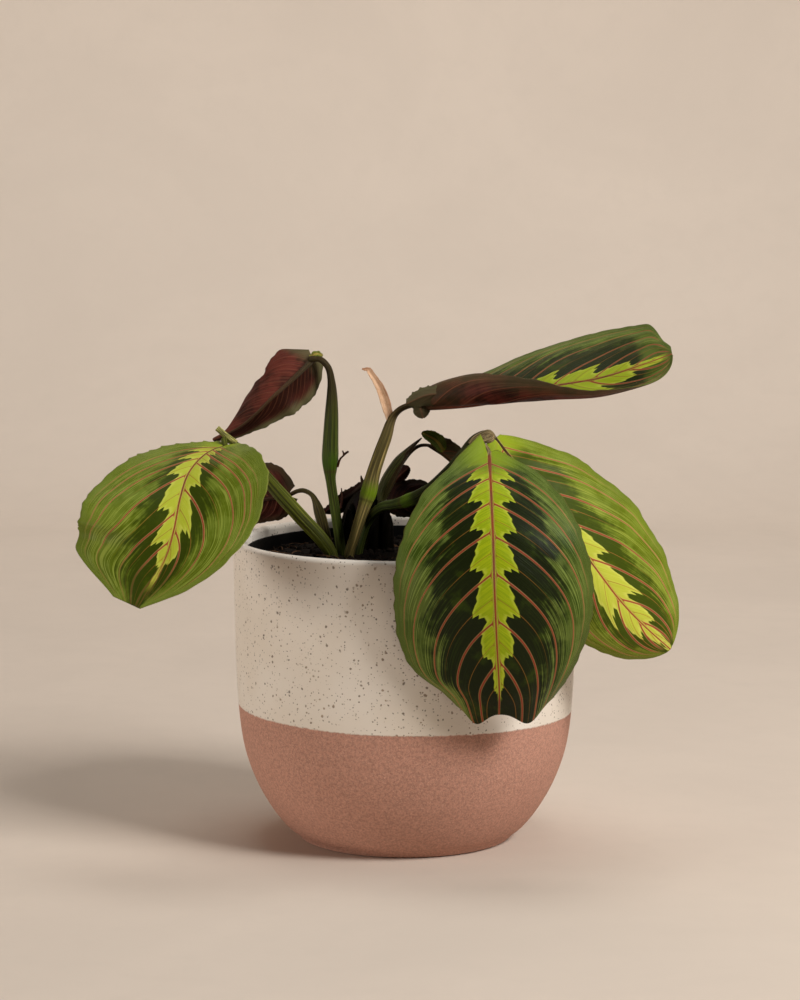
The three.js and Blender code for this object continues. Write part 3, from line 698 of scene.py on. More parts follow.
def half_width(share, side, leaf):
    """The width of one half of a leaf at shares of its length."""
    if side in leaf.get("widths", {}):
        return np.maximum(along(leaf["widths"][side], share)[..., 0], 0.6)
    widest, before, after = leaf["shape"][side]
    early = share < widest
    reach = np.where(early, (widest - share) / widest, (share - widest) / (1 - widest))
    width = leaf["half"][side] * np.sqrt(np.maximum(1 - reach ** np.where(early, before, after), 0))
    base = leaf.get("base", 3) * np.exp(-((share / 0.06) ** 2))
    return np.where(early, np.maximum(width, base), np.maximum(width, leaf.get("tip", 0.6)))


def blade_points(leaf, share, v):
    """Points of the blade's middle surface at shares of its length, with v from -1 to 1 across it."""
    points = np.zeros((*share.shape, 3))
    for side, picked in enumerate((v < 0, v >= 0)):
        s, across = share[picked], v[picked]
        size = np.abs(across)
        u = s - leaf["lobe"][side] * size**1.6 * np.exp(-s / 0.12)
        ahead = along(leaf["spine"], np.clip(u, 0, 1) + 0.16)
        tangent = unit(ahead - along(leaf["spine"], u - 0.16))
        up = along(leaf["face"], u)
        up = unit(up - (up * tangent).sum(-1, keepdims=True) * tangent)
        outward = np.cross(up, tangent)
        fold = np.radians(along(leaf["fold"][side], u)[..., 0])
        curl = np.radians(along(leaf["curl"][side], u)[..., 0])
        curl = np.where(np.abs(curl) < 0.001, 0.001, curl)
        width = half_width(s, side, leaf)
        angle = fold + curl * size
        height, waves, phase = leaf["ripple"]
        wave = height * size**3 * np.sin(2 * np.pi * waves * s + phase + 1.3 * side)
        start = along(leaf["spine"], u)
        back = (along(leaf["spine"], 0.001) - along(leaf["spine"], 0)) / 0.001
        start = start + back * np.minimum(u, 0)[..., None]
        sideways = np.sign(across) * width / curl * (np.sin(angle) - np.sin(fold))
        lift = width / curl * (np.cos(fold) - np.cos(angle)) + wave * np.sin(np.pi * s)
        spot = start + outward * sideways[..., None] + up * lift[..., None]
        for nu, nv, ru, rv, move in leaf.get("notches", []):
            reach = np.exp(-(((s - nu) / ru) ** 2) - ((across - nv) / rv) ** 2)[..., None]
            spot = spot + reach * (tangent * move[0] + outward * move[1] + up * move[2])
        points[picked] = spot
    return points


def vein_field(leaf, share, v):
    """For each point, the number of the side vein that passes it: whole numbers on the main veins."""
    starts = np.linspace(-0.6, 1, 900)
    field = np.zeros(share.shape)
    for side in (0, 1):
        reach = np.interp(starts, VEIN_START, VEIN_REACH)
        lean = np.interp(starts, VEIN_START, VEIN_LEAN) * leaf["sweep"][side]
        mains = np.array(leaf["veins"][side])
        numbers = np.arange(len(mains))
        first, last = mains[1] - mains[0], mains[-1] - mains[-2]
        knots = np.concatenate([[mains[0] - 10 * first], mains, [mains[-1] + 10 * last]])
        labels = np.concatenate([[-10], numbers, [numbers[-1] + 10]])
        half = (v < 0) if side == 0 else (v >= 0)
        for row in range(share.shape[0]):
            columns = np.nonzero(half[row])[0]
            advance = np.maximum(share[row, 0] - starts, 0)
            across = reach * (1 - np.exp(-advance / lean))
            across = np.minimum.accumulate(across)
            start = np.interp(-np.abs(v[row, columns]), -across, starts)
            field[row, columns] = np.interp(start, knots, labels)
    return field


def grid_gradient(points, values):
    """How fast values change over a grid of points, per unit of length."""
    along_rows, along_columns = np.gradient(points, axis=0), np.gradient(points, axis=1)
    rows, columns = np.gradient(values, axis=0), np.gradient(values, axis=1)
    e = (along_rows**2).sum(-1)
    f = (along_rows * along_columns).sum(-1)
    g = (along_columns**2).sum(-1)
    area = np.maximum(e * g - f * f, 1e-9)
    return np.sqrt(np.maximum(g * rows**2 - 2 * f * rows * columns + e * columns**2, 0) / area)


def place_mesh(mesh):
    """A new object of the scene, named as its mesh."""
    thing = bpy.data.objects.new(mesh.name, mesh)
    bpy.context.scene.collection.objects.link(thing)
    return thing


def store(mesh, attributes):
    """Keeps a number for each point of a mesh, under each title."""
    for title, values in attributes.items():
        layer = mesh.attributes.new(title, "FLOAT", "POINT")
        layer.data.foreach_set("value", np.asarray(values, np.float32))


def mesh_object(name, points, faces, materials, attributes=None, indices=None):
    """An object from points in millimetres."""
    mesh = bpy.data.meshes.new(name)
    mesh.from_pydata((np.asarray(points) * MM).tolist(), [], faces)
    for material in materials:
        mesh.materials.append(material)
    if indices is not None:
        mesh.polygons.foreach_set("material_index", indices)
    store(mesh, attributes or {})
    mesh.polygons.foreach_set("use_smooth", [True] * len(mesh.polygons))
    mesh.update()
    return place_mesh(mesh)


def make_blade(name, leaf, grid, thickness, materials):
    """A closed blade with its veins pressed in: the upper face takes the first material."""
    rows, columns = grid
    share = (1 - np.cos(np.linspace(0, np.pi, rows + 1))) / 2
    share = 0.35 * share + 0.65 * np.linspace(0, 1, rows + 1)
    share, v = np.meshgrid(share, np.linspace(-1, 1, columns + 1), indexing="ij")
    points = blade_points(leaf, share, v)
    size = np.abs(v)
    outward = unit(np.gradient(points, axis=1)) * np.sign(v)[..., None]
    ragged = np.sin(61 * share + 2 * v) + 0.7 * np.sin(113 * share - v) + 0.5 * np.sin(29 * share + 1)
    points = points + outward * (leaf.get("fray", 0.16) * ragged * size**12)[..., None]
    for side, low, high, count, reach in leaf.get("teeth", []):
        inside = np.clip((share - low) / 0.03, 0, 1) * np.clip((high - share) / 0.03, 0, 1) * (v * side > 0)
        tooth = np.maximum(np.sin(np.pi * count * (share - low) / (high - low)), 0) ** 2
        points = points + outward * (inside * tooth * reach * size**14)[..., None]
    width = np.where(v < 0, half_width(share, 0, leaf), half_width(share, 1, leaf))
    field = vein_field(leaf, share, v)
    pitch = 1 / np.maximum(grid_gradient(points, field), 0.02)
    off = size * width
    normal = unit(np.cross(np.gradient(points, axis=0), np.gradient(points, axis=1)))
    calm = np.clip((1 - size) / 0.15, 0, 1) * np.clip(share / 0.08, 0, 1) * np.clip((1 - share) / 0.1, 0, 1)
    quilt = QUILT * np.sin(np.pi * field) ** 2 * calm * np.clip(pitch / 6, 0, 1) * np.clip(off / 4, 0, 1)
    rib = np.exp(-((off / 0.8) ** 2)) * (1 - 0.75 * share) * min(1, thickness / 0.4)
    depth = thickness * (1 - 0.55 * size**3)
    upper = points + normal * (depth / 2 + quilt - 0.25 * rib)[..., None]
    lower = points + normal * (-depth / 2 + quilt - 0.45 * rib)[..., None]
    at = np.arange(share.size).reshape(share.shape)
    squares = np.stack([at[:-1, :-1], at[1:, :-1], at[1:, 1:], at[:-1, 1:]], axis=-1).reshape(-1, 4)
    ring = np.concatenate([at[0, :-1], at[:-1, -1], at[-1, :0:-1], at[:0:-1, 0]])
    following = np.roll(ring, -1)
    edge = np.stack([ring, following, following + at.size, ring + at.size], axis=-1)
    faces = np.concatenate([squares, squares[:, ::-1] + at.size, edge]).tolist()
    indices = [0] * len(squares) + [1] * len(squares) + [0] * len(edge)
    measures = (field, pitch, off, size, v, share, width - off)
    titles = ("vein", "pitch", "off", "share", "across", "run", "edge")
    attributes = {title: np.tile(values.ravel(), 2) for title, values in zip(titles, measures)}
    shell = np.concatenate([upper.reshape(-1, 3), lower.reshape(-1, 3)])
    return mesh_object(name, shell, faces, materials, attributes, indices)


# The colours of a leaf's parts, each on a deep green leaf and on a pale one.
LEAF_COLOURS = {
    "dark": ((21, 28, 2), (66, 80, 3)),
    "dark_patch": ((46, 60, 4), (86, 102, 6)),
    "mid": ((56, 74, 14), (104, 118, 10)),
    "mid_light": ((122, 138, 64), (160, 168, 62)),
    "margin": ((80, 94, 34), (118, 134, 34)),
    "base": ((128, 148, 18), (154, 170, 32)),
    "band": ((152, 166, 18), (188, 192, 62)),
    "band_streak": ((124, 146, 10), (208, 208, 84)),
    "band_rim": ((186, 194, 66), (216, 214, 106)),
    "thin_vein": ((132, 90, 34), (170, 110, 52)),
    "vein_border": ((188, 148, 92), (214, 176, 112)),
    "vein": ((138, 44, 32), (158, 54, 40)),
    "petiole": ((110, 92, 60), (150, 132, 76)),
    "rim": ((96, 84, 40), (156, 158, 74)),
    "under_dark": ((38, 15, 8), (50, 24, 14)),
    "under": ((102, 43, 34), (94, 50, 38)),
    "under_light": ((122, 62, 48), (116, 70, 50)),
    "under_margin": ((98, 92, 62), (104, 100, 62)),
    "under_vein": ((140, 84, 60), (148, 98, 68)),
}


def side_veins(skin, leaf, thick):
    """The blade's own measures, and masks of its main veins, their pale borders and its thin veins."""
    names = ("vein", "pitch", "off", "share", "run", "edge", "across")
    m = {name: skin.attribute(name) for name in names}
    last = float(len(leaf["veins"][0]))
    m["part"] = m["vein"].fraction()
    near = m["part"].lowest(1 - m["part"]) * m["pitch"]
    between = abs(m["part"] - 0.5) * m["pitch"]
    present = m["vein"].rise(-0.6, -0.4) * m["vein"].fall(last - 0.3, last - 0.1)
    present = present * m["pitch"].rise(0.9, 3.0)
    width = (1 - m["share"] * 0.62) * thick
    main = near.fall(width * 0.55, width * 1.15) * present * m["share"].fall(0.8, 0.97)
    border = near.fall(width * 1.2, width * 2.1) * present * m["share"].fall(0.85, 1.0)
    thin_width = (1 - m["share"] * 0.8).highest(0.15) * (thick * 0.5)
    thin = between.fall(thin_width * 0.4, thin_width * 1.2) * present
    m["thin"] = thin * m["share"].fall(0.3, 0.7)
    rib = 0.55 - m["run"] * 0.3
    m["main"] = main.highest(m["off"].fall(rib * 0.6, rib * 1.05))
    m["border"] = border.highest(m["off"].fall(rib * 1.2, rib * 2.0) * 0.8)
    if "vein_end" in leaf:
        for mask in ("main", "border", "thin"):
            m[mask] = m[mask] * m["run"].rise(*leaf["vein_end"], 1.0, 0.2)
    m["fine"] = skin.noise(skin.vector(m["vein"] * 21.0, m["off"] * 0.09, m["run"] * 3.0), 1.0, 2.0, 0.6)
    m["streak"] = skin.noise(skin.vector(m["vein"] * 8.0, m["off"] * 0.05, m["run"] * 2.0), 1.0, 3.0, 0.6)
    return m


def upper_skin(name, leaf, look):
    """The upper side: a jagged pale band along the midrib, dark blotches and reddish side veins."""
    skin = Finish(name, gloss=0.12)
    m = side_veins(skin, leaf, 0.36 if leaf["band"] > 4 else 0.24)
    share, off, run, fine = m["share"], m["off"], m["run"], m["fine"]
    place = skin.place()
    patch = skin.noise(place, 100.0, 3.0, 0.6)
    jag = skin.noise(place, 230.0, 1.0, 0.4)
    speck = skin.noise(place, 520.0, 2.0, 0.6)
    lobe = skin.ramp(m["part"], BAND_LOBE)
    tail, end = leaf.get("tail", (0.6, 0.92))
    rim = lobe * run.rise(tail, end, 1.0, 0.18) * leaf["band"] + (jag - 0.5) * 1.8
    band = off.fall(rim - 0.25, rim + 0.3) * run.rise(*leaf.get("start", (0.05, 0.13)))
    band = band * run.fall(end + 0.01, end + 0.07)
    outward = share + (m["streak"] - 0.5) * 0.6 + (fine - 0.5) * 0.25 + (patch - 0.5) * 0.5
    onward = run + (patch - 0.5) * 0.1
    reach = leaf.get("blotch", 0.6)
    blotch = outward.fall(reach - 0.1, reach + 0.1) * onward.rise(0.06, 0.14)
    blotch = blotch * onward.fall(*leaf.get("plain", (2.0, 3.0)))
    hairs = fine.rise(0.5, 0.6) * share.rise(0.2, 0.55)
    dark = skin.layers(
        look["dark"],
        (patch.rise(0.52, 0.72) * 0.8, look["dark_patch"]),
        (hairs * 0.3, look["mid"]),
    )
    lime = skin.layers(
        look["band"],
        (fine.rise(0.35, 0.7) * 0.75, look["band_streak"]),
        (off.rise(rim - 1.8, rim - 0.2) * band * 0.5, look["band_rim"]),
    )
    vein = skin.layers(
        look["vein"],
        (share.rise(0.4, 1.0) * 0.25, look["vein_border"]),
        (run.fall(0.0, 0.12, 0.8) * off.fall(0.5, 2.0), look["petiole"]),
    )
    colour = skin.layers(
        look["mid"],
        (patch.rise(0.4, 0.62), look["margin"]),
        (hairs * 0.75, look["mid_light"]),
        (share.rise(0.85, 1.0) * 0.7, look["margin"]),
        (run.fall(0.05, 0.13) * off.fall(1.0, 16.0, 0.85), look["base"]),
        (blotch, dark),
        (band, lime),
        (m["border"] * 0.42, look["vein_border"]),
        (m["thin"] * 0.75, look["thin_vein"]),
        (m["main"] * leaf.get("vein_strength", 0.92), vein),
        (m["edge"].fall(0.1, 0.5, 0.55), look["rim"]),
    )
    rough = 0.47 + (fine - 0.5) * 0.16 + (speck - 0.5) * 0.14 + m["main"] * 0.05
    relief = m["main"] * 0.5 + (fine - 0.5) * 0.5 + (speck - 0.5) * 0.25
    return skin.wear(colour, rough, skin.bump(relief, 0.0004, 0.6))


def under_skin(name, leaf, look):
    """The underside: maroon with paler side veins, greener at the margin and at the base, with painted
    shade on the lower half of a leaf that is given it.
    """
    skin = Finish(name, gloss=0.1)
    m = side_veins(skin, leaf, 0.4 if leaf["band"] > 4 else 0.3)
    share, fine, across = m["share"], m["fine"], m["across"]
    place = skin.place()
    patch = skin.noise(place, 110.0, 3.0, 0.55)
    speck = skin.noise(place, 500.0, 2.0, 0.6)
    rows = skin.noise(skin.vector(m["vein"] * 12.0, m["off"] * 0.06, m["run"] * 2.0), 1.0, 2.0, 0.6)
    # Painted shade: the lower half goes towards the darkest maroon, most near the midrib.
    low = across.fall(-0.02, 0.02) * share.rise(0.3, 1.0, 0.95, 0.2)
    rimmed = (share + (rows - 0.5) * 0.4).rise(0.6, 0.95)
    rimmed = rimmed * across.rise(-0.02, 0.02, 1.0, 1.0 - leaf.get("maroon_side", 0.0))
    rimmed = rimmed + m["run"].fall(0.0, leaf.get("green_base", 0.12), 0.8)
    colour = skin.layers(
        look["under_dark"],
        (patch.rise(0.35, 0.65), look["under"]),
        (fine.rise(0.4, 0.7) * 0.5, look["under_light"]),
        (rows.rise(0.5, 0.35) * 0.5, look["under_dark"]),
        (low * leaf.get("painted_shade", 0.0), look["under_dark"]),
        (rimmed.lowest(1.0) * leaf.get("green_rim", 0.5), look["under_margin"]),
        (m["thin"] * 0.35, look["under_vein"]),
        (m["main"] * leaf.get("under_veins", 0.6), look["under_vein"]),
    )
    rough = 0.55 + (fine - 0.5) * 0.15 + (speck - 0.5) * 0.1
    relief = m["main"] * 0.7 + (fine - 0.5) * 0.5 + (rows - 0.5) * 0.6 + (speck - 0.5) * 0.15
    return skin.wear(colour, rough, skin.bump(relief, 0.0005, 0.7))


def leaf_look(leaf, sizes):
    """The colours of one leaf, from deep green (tone 0) to pale (1), scaled by its painted-light factor:
    painted shade below one, painted light above one.
    """
    dim, tone = leaf.get("dim", 1.0), leaf["tone"]
    look = {}
    for part, (deep, pale) in LEAF_COLOURS.items():
        pairs = zip(paint(*deep)[:3], paint(*pale)[:3])
        look[part] = opaque([(a + (b - a) * tone) * dim for a, b in pairs])
    look["vein"] = opaque([c * t for c, t in zip(look["vein"], sizes.vein_tint)])
    return look


def path_points(points, step, own=None):
    """Evenly spaced points on the smooth curve through points that carry their radius, and how far along
    each is, as a share of the length of the first own points."""
    share = np.linspace(0, 1, 40 * len(points))
    fine = along(points, share)
    length = np.concatenate([[0], np.cumsum(np.linalg.norm(np.diff(fine[:, :3], axis=0), axis=1))])
    count = max(int(length[-1] / step), 6)
    spots = np.linspace(0, length[-1], count + 1)
    whole = np.interp((own or len(points)) - 1, np.linspace(0, len(points) - 1, len(share)), length)
    strand = np.stack([np.interp(spots, length, fine[:, axis]) for axis in range(4)], axis=-1)
    return strand, spots / whole


def path_object(name, strands):
    """Polylines with the attributes that the tube tree reads: girth and place along the strand."""
    points, edges, girth, run = [], [], [], []
    for strand, spots in strands:
        first = len(points)
        points.extend(strand[:, :3].tolist())
        girth.extend((strand[:, 3] * MM).tolist())
        run.extend(spots.tolist())
        edges.extend((first + i, first + i + 1) for i in range(len(strand) - 1))
    mesh = bpy.data.meshes.new(name)
    mesh.from_pydata((np.array(points) * MM).tolist(), edges, [])
    store(mesh, {"girth": girth, "run": run})
    return place_mesh(mesh)


def midrib_points(leaf, radius):
    """The stalk's way on along the underside of a blade, thinner towards the tip."""
    share = np.array([0.015, 0.1, 0.22, 0.36, 0.5, 0.64, 0.78, 0.9])
    grid, v = np.meshgrid(share, np.array([-0.02, 0.0, 0.02]), indexing="ij")
    spots = blade_points(leaf, grid, v)
    ahead = unit(np.gradient(spots, axis=0))[:, 1]
    normal = unit(np.cross(ahead, unit(np.gradient(spots, axis=1))[:, 1]))
    girth = radius * (1 - share) ** 0.8 * 0.85 + 0.12
    middle = spots[:, 1] - normal * (0.1 + 0.55 * girth)[:, None]
    return [(*spot, r) for spot, r in zip(middle.tolist(), girth.tolist())]


def tube_tree():
    """Tubes with an oval, slightly ridged section along the strands of the input mesh."""
    inputs = {"Sides": "Int", "Flatness": "Float", "Ridges": "Float", "Ridge depth": "Float"}
    nodes = Tree("tube along a path", inputs)
    given = nodes.given
    curve = nodes.add("GeometryNodeMeshToCurve", inputs={"Mesh": given["Geometry"]})
    girth = nodes.add("GeometryNodeInputNamedAttribute", {"data_type": "FLOAT"}, {"Name": "girth"})
    profile = nodes.ring(given["Sides"])
    angle = nodes.add("GeometryNodeSplineParameter", output="Factor") * TURN
    swell = 1 + (angle * given["Ridges"]).sine() * given["Ridge depth"]
    outline = nodes.vector(angle.cosine() * swell, angle.sine() * swell * given["Flatness"], 0.0)
    profile = nodes.moved(profile, "Position", outline)
    for title, value in (("section_x", angle.cosine()), ("section_y", angle.sine())):
        settings = {"data_type": "FLOAT", "domain": "POINT"}
        inputs = {"Geometry": profile, "Name": title, "Value": value}
        profile = nodes.add("GeometryNodeStoreNamedAttribute", settings, inputs)
    return nodes.end(nodes.tube(curve, profile, girth))


def turned_tree():
    """A turned surface: the input polyline, in the XZ plane, is carried round Z."""
    nodes = Tree("turned on a wheel", {"Sides": "Int"})
    outline = nodes.given["Geometry"]
    settings = {"component": "MESH"}
    rows = nodes.add("GeometryNodeAttributeDomainSize", settings, {0: outline}, "Point Count")
    inputs = {"Size X": 1.0, "Size Y": 1.0, "Vertices X": nodes.given["Sides"] + 1, "Vertices Y": rows}
    grid = nodes.add("GeometryNodeMeshGrid", inputs=inputs, output="Mesh")
    spot = nodes.add("GeometryNodeInputPosition")
    index = ((nodes.axis(spot, 1) + 0.5) * (rows - 1)).rounded()
    settings = {"data_type": "FLOAT_VECTOR", "domain": "POINT"}
    inputs = {"Geometry": outline, "Value": spot, "Index": index}
    sample = nodes.add("GeometryNodeSampleIndex", settings, inputs)
    radius, height = nodes.axis(sample, 0), nodes.axis(sample, 2)
    angle = (nodes.axis(spot, 0) + 0.5) * TURN
    turned = nodes.vector(radius * angle.cosine(), radius * angle.sine(), height)
    grid = nodes.moved(grid, "Position", turned)
    return nodes.end(nodes.add("GeometryNodeMergeByDistance", inputs={"Geometry": grid, "Distance": 1e-6}))


def crumb_tree():
    """Crumbs of many sizes on the faces of the input surface."""
    inputs = {"Density": "Float", "Smallest": "Float", "Largest": "Float", "Seed": "Int"}
    nodes = Tree("crumbs on a surface", inputs)
    crumb = nodes.add("GeometryNodeMeshIcoSphere", inputs={"Radius": 1.0, "Subdivisions": 2}, output="Mesh")
    size = nodes.random(nodes.given["Smallest"], nodes.given["Largest"], 1)
    stretch = nodes.random((0.6, 0.6, 0.4), (1.3, 1.3, 0.9), 2)
    scale = nodes.vector_math("SCALE", {0: stretch, "Scale": size})
    turn = nodes.random((0.0, 0.0, 0.0), (6.28, 6.28, 6.28), 3)
    crumbs = nodes.copies(nodes.spread(), crumb, turn, scale)
    inputs = {"Vector": nodes.add("GeometryNodeInputPosition"), "Scale": 900.0, "Detail": 1.0}
    lump = nodes.add("ShaderNodeTexNoise", inputs=inputs, output="Color")
    push = nodes.vector_math("SUBTRACT", {0: lump, 1: (0.5, 0.5, 0.5)})
    push = nodes.vector_math("SCALE", {0: push, "Scale": LUMP_DEPTH})
    return nodes.end(nodes.moved(crumbs, "Offset", push))


def fibre_tree():
    """Short bent fibres that lie on the faces of the input surface."""
    inputs = {"Density": "Float", "Length": "Float", "Thickness": "Float", "Seed": "Int"}
    nodes = Tree("fibres on a surface", inputs)
    bend = {"Resolution": 7, "Start": (-0.5, 0, 0.0), "Middle": (0.0, 0.35, 0.3), "End": (0.5, -0.1, 0.02)}
    arc = nodes.add("GeometryNodeCurveQuadraticBezier", inputs=bend)
    turn = nodes.random((-0.25, -0.25, 0.0), (0.25, 0.25, 6.28), 1)
    length = nodes.random(0.35, 1.0, 2) * nodes.given["Length"]
    fibres = nodes.copies(nodes.spread(), arc, turn, length)
    return nodes.end(nodes.tube(fibres, nodes.ring(5), nodes.given["Thickness"]))


def grown(source, tree, settings, name):
    """The plain mesh object that a geometry tree makes of source, which goes."""
    modifier = source.modifiers.new("tree", "NODES")
    modifier.node_group = tree
    for item in tree.interface.items_tree:
        if item.item_type == "SOCKET" and item.in_out == "INPUT" and item.name in settings:
            modifier[item.identifier] = settings[item.name]
    graph = bpy.context.evaluated_depsgraph_get()
    mesh = bpy.data.meshes.new_from_object(source.evaluated_get(graph))
    if not mesh.polygons:
        raise RuntimeError(f"{name} came out with no faces")
    mesh.name = name
    if "girth" in mesh.attributes:
        mesh.attributes.remove(mesh.attributes["girth"])
    bpy.data.objects.remove(source)
    return place_mesh(mesh)


def signed_volume(mesh):
    """The volume of a closed mesh, below zero when its faces point inwards."""
    mesh.calc_loop_triangles()
    corners = np.empty(len(mesh.vertices) * 3)
    mesh.vertices.foreach_get("co", corners)
    corners = corners.reshape(-1, 3)
    triangles = np.empty(len(mesh.loop_triangles) * 3, np.int32)
    mesh.loop_triangles.foreach_get("vertices", triangles)
    a, b, c = (corners[triangles.reshape(-1, 3)[:, i]] for i in range(3))
    return (a * np.cross(b, c)).sum() / 6


def face_outwards(thing):
    """Turns the faces of a closed piece outwards."""
    if signed_volume(thing.data) < 0:
        thing.data.flip_normals()
    return thing


def seat(thing, slot, *nodes):
    """Rides a finished piece on the plant's one body, in place of its CAD nodes."""
    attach(thing, "root")
    if nodes:
        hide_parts(*nodes)
    return thing


def pot_profile():
    """Radius and height of the ceramic pot, up its outside, over the lip and down to the inner floor."""
    outer = along([(radius, height) for height, radius in POT_OUTLINE], np.linspace(0, 1, 140))
    foot = [(0, 0.6), (30, 0.6), (36, 0.4), (38.5, 0), (40.6, 0), (41.3, 0.3)]
    outer = outer[outer[:, 1] > 0.5]
    lip_radius = POT_WALL / 2
    middle = outer[-1] - (lip_radius, 0)
    angles = np.radians(np.arange(8, 180, 8))
    lip = middle + lip_radius * np.stack([np.cos(angles), np.sin(angles)], axis=-1)
    inner = outer[::4][::-1] - (POT_WALL, 0)
    inner = inner[inner[:, 1] > POT_FLOOR + 3]
    floor = [(inner[-1, 0] - 3, POT_FLOOR), (20, POT_FLOOR), (0, POT_FLOOR)]
    return np.concatenate([foot, outer, lip, inner, floor])


def nursery_profile():
    """Radius and height of the nursery pot, up its outside, over its upright rim and down again."""
    rim, top = NURSERY_TOP - 9, NURSERY_TOP
    outer = [(0, 7.3), (42, 7.3), (44.5, 9), (59.6, 100), (60.4, rim - 0.4), (61.6, rim + 0.3)]
    lip = [(62.1, rim + 1), (62.2, top - 0.5), (62.05, top - 0.12), (61.7, top), (61.35, top - 0.12)]
    return np.array([*outer, *lip, (61.2, top - 0.5), (61.2, 104), (43.5, 10), (0, 8.6)])


def outline_object(name, profile):
    """A polyline in the XZ plane through points of radius and height."""
    points = [(radius * MM, 0, height * MM) for radius, height in profile]
    mesh = bpy.data.meshes.new(name)
    mesh.from_pydata(points, [(i, i + 1) for i in range(len(points) - 1)], [])
    return place_mesh(mesh)


def pot_finish(sizes):
    """Cream glaze with brown specks over a mottled clay foot, parted by a dipped line."""
    pot = Finish("glazed stoneware", gloss=0.4)
    place = pot.place()
    height = pot.axis(place, 2) * 1000.0
    dip = sizes.dip_height / MM + (pot.noise(place, 9.0) - 0.5) * 3.2 + pot.axis(place, 0) * -24.0
    fringe = (pot.noise(place, 700.0) - 0.5) * 0.9
    glazed = (height + fringe).rise(dip - 0.35, dip + 0.35)
    rough_grain = pot.noise(place, 2200.0, 3.0, 0.7)
    grain = pot.noise(place, 1000.0, 3.0, 0.65)
    cloud = pot.noise(place, 30.0, 3.0)
    clay = pot.layers(
        deepened(sizes.clay_colour, 0.86),
        (grain.rise(0.36, 0.62), opaque(sizes.clay_colour)),
        (rough_grain.rise(0.5, 0.72) * 0.6, paint(224, 178, 156)),
        (rough_grain.rise(0.44, 0.3) * 0.5, paint(146, 92, 76)),
    )
    wobble = pot.add("ShaderNodeTexNoise", inputs={"Vector": place, "Scale": 400.0}, output="Color")
    warped = pot.vector_math("MULTIPLY_ADD", {0: wobble, 1: (SPECK_WOBBLE,) * 3, 2: place})
    specks = None
    for scale, radius, chosen in SPECKS:
        distance = pot.cells(warped, scale)
        random = pot.axis(pot.cells(warped, scale, "Color"), 0)
        size = random.rise(chosen, 1.0, 0.0, radius)
        speck = distance.fall(size * 0.45, size) * random.rise(chosen, chosen + 0.01)
        specks = specks.highest(speck) if specks else speck
    tone = pot.axis(pot.cells(warped, 260.0, "Color"), 1)
    glaze = pot.layers(
        opaque(sizes.glaze_colour),
        (cloud.rise(0.35, 0.7) * 0.35, paint(214, 198, 176)),
        (specks * 0.85, pot.blend(tone, paint(66, 50, 32), paint(146, 122, 94))),
    )
    roughness = glazed * -0.37 + 0.82 + (grain - 0.5) * 0.1
    relief = (rough_grain - 0.5) * (1 - glazed) * 0.6 + specks * -0.3 + glazed * 0.8 + (cloud - 0.5) * 0.3
    return pot.wear(pot.blend(glazed, clay, glaze), roughness, pot.bump(relief, 0.0003, 0.7))


def plastic_finish():
    """Dull dark plastic with a little dust; its colour is lowered further, near black, as painted shade for
    the pot's shaded inside.
    """
    plastic = Finish("nursery plastic", gloss=0.12)
    place = plastic.place()
    grain = plastic.noise(place, 1200.0)
    dust = plastic.noise(place, 60.0, 3.0, 0.6)
    colour = plastic.blend(dust.rise(0.4, 0.7) * 0.6, paint(4, 3, 2), paint(9, 8, 6))
    rough = 0.62 + (grain - 0.5) * 0.2 + (dust - 0.5) * 0.2
    return plastic.wear(colour, rough, plastic.bump(grain, 0.0001, 0.5))


def soil_finish(sizes, name="potting soil", light=0.0):
    """Dark damp soil; light is how much paler its grains are."""
    soil = Finish(name, gloss=0.08)
    place = soil.place()
    grain = soil.noise(place, 500.0, 4.0, 0.7)
    lump = soil.noise(place, 120.0, 3.0, 0.6)
    colour = soil.layers(
        opaque(sizes.soil_colour),
        (grain.rise(0.4, 0.75) * 0.7, paint(40 + light, 28 + light, 18 + light)),
        (lump.rise(0.55, 0.3) * 0.7, paint(7, 5, 3)),
    )
    return soil.wear(colour, 0.85 + (grain - 0.5) * 0.2, soil.bump(grain, 0.0006, 0.8))


def fibre_finish():
    """Dull brown root, paler in places."""
    fibre = Finish("root fibre", gloss=0.25)
    place = fibre.place()
    grain, tone = fibre.noise(place, 600.0), fibre.noise(place, 45.0)
    colour = fibre.layers(
        paint(92, 62, 38),
        (tone.rise(0.4, 0.62), paint(52, 34, 22)),
        (grain.rise(0.4, 0.7) * 0.5, paint(128, 96, 64)),
    )
    return fibre.wear(colour, 0.8 + (grain - 0.5) * 0.2, fibre.bump(grain, 0.0002, 0.6))


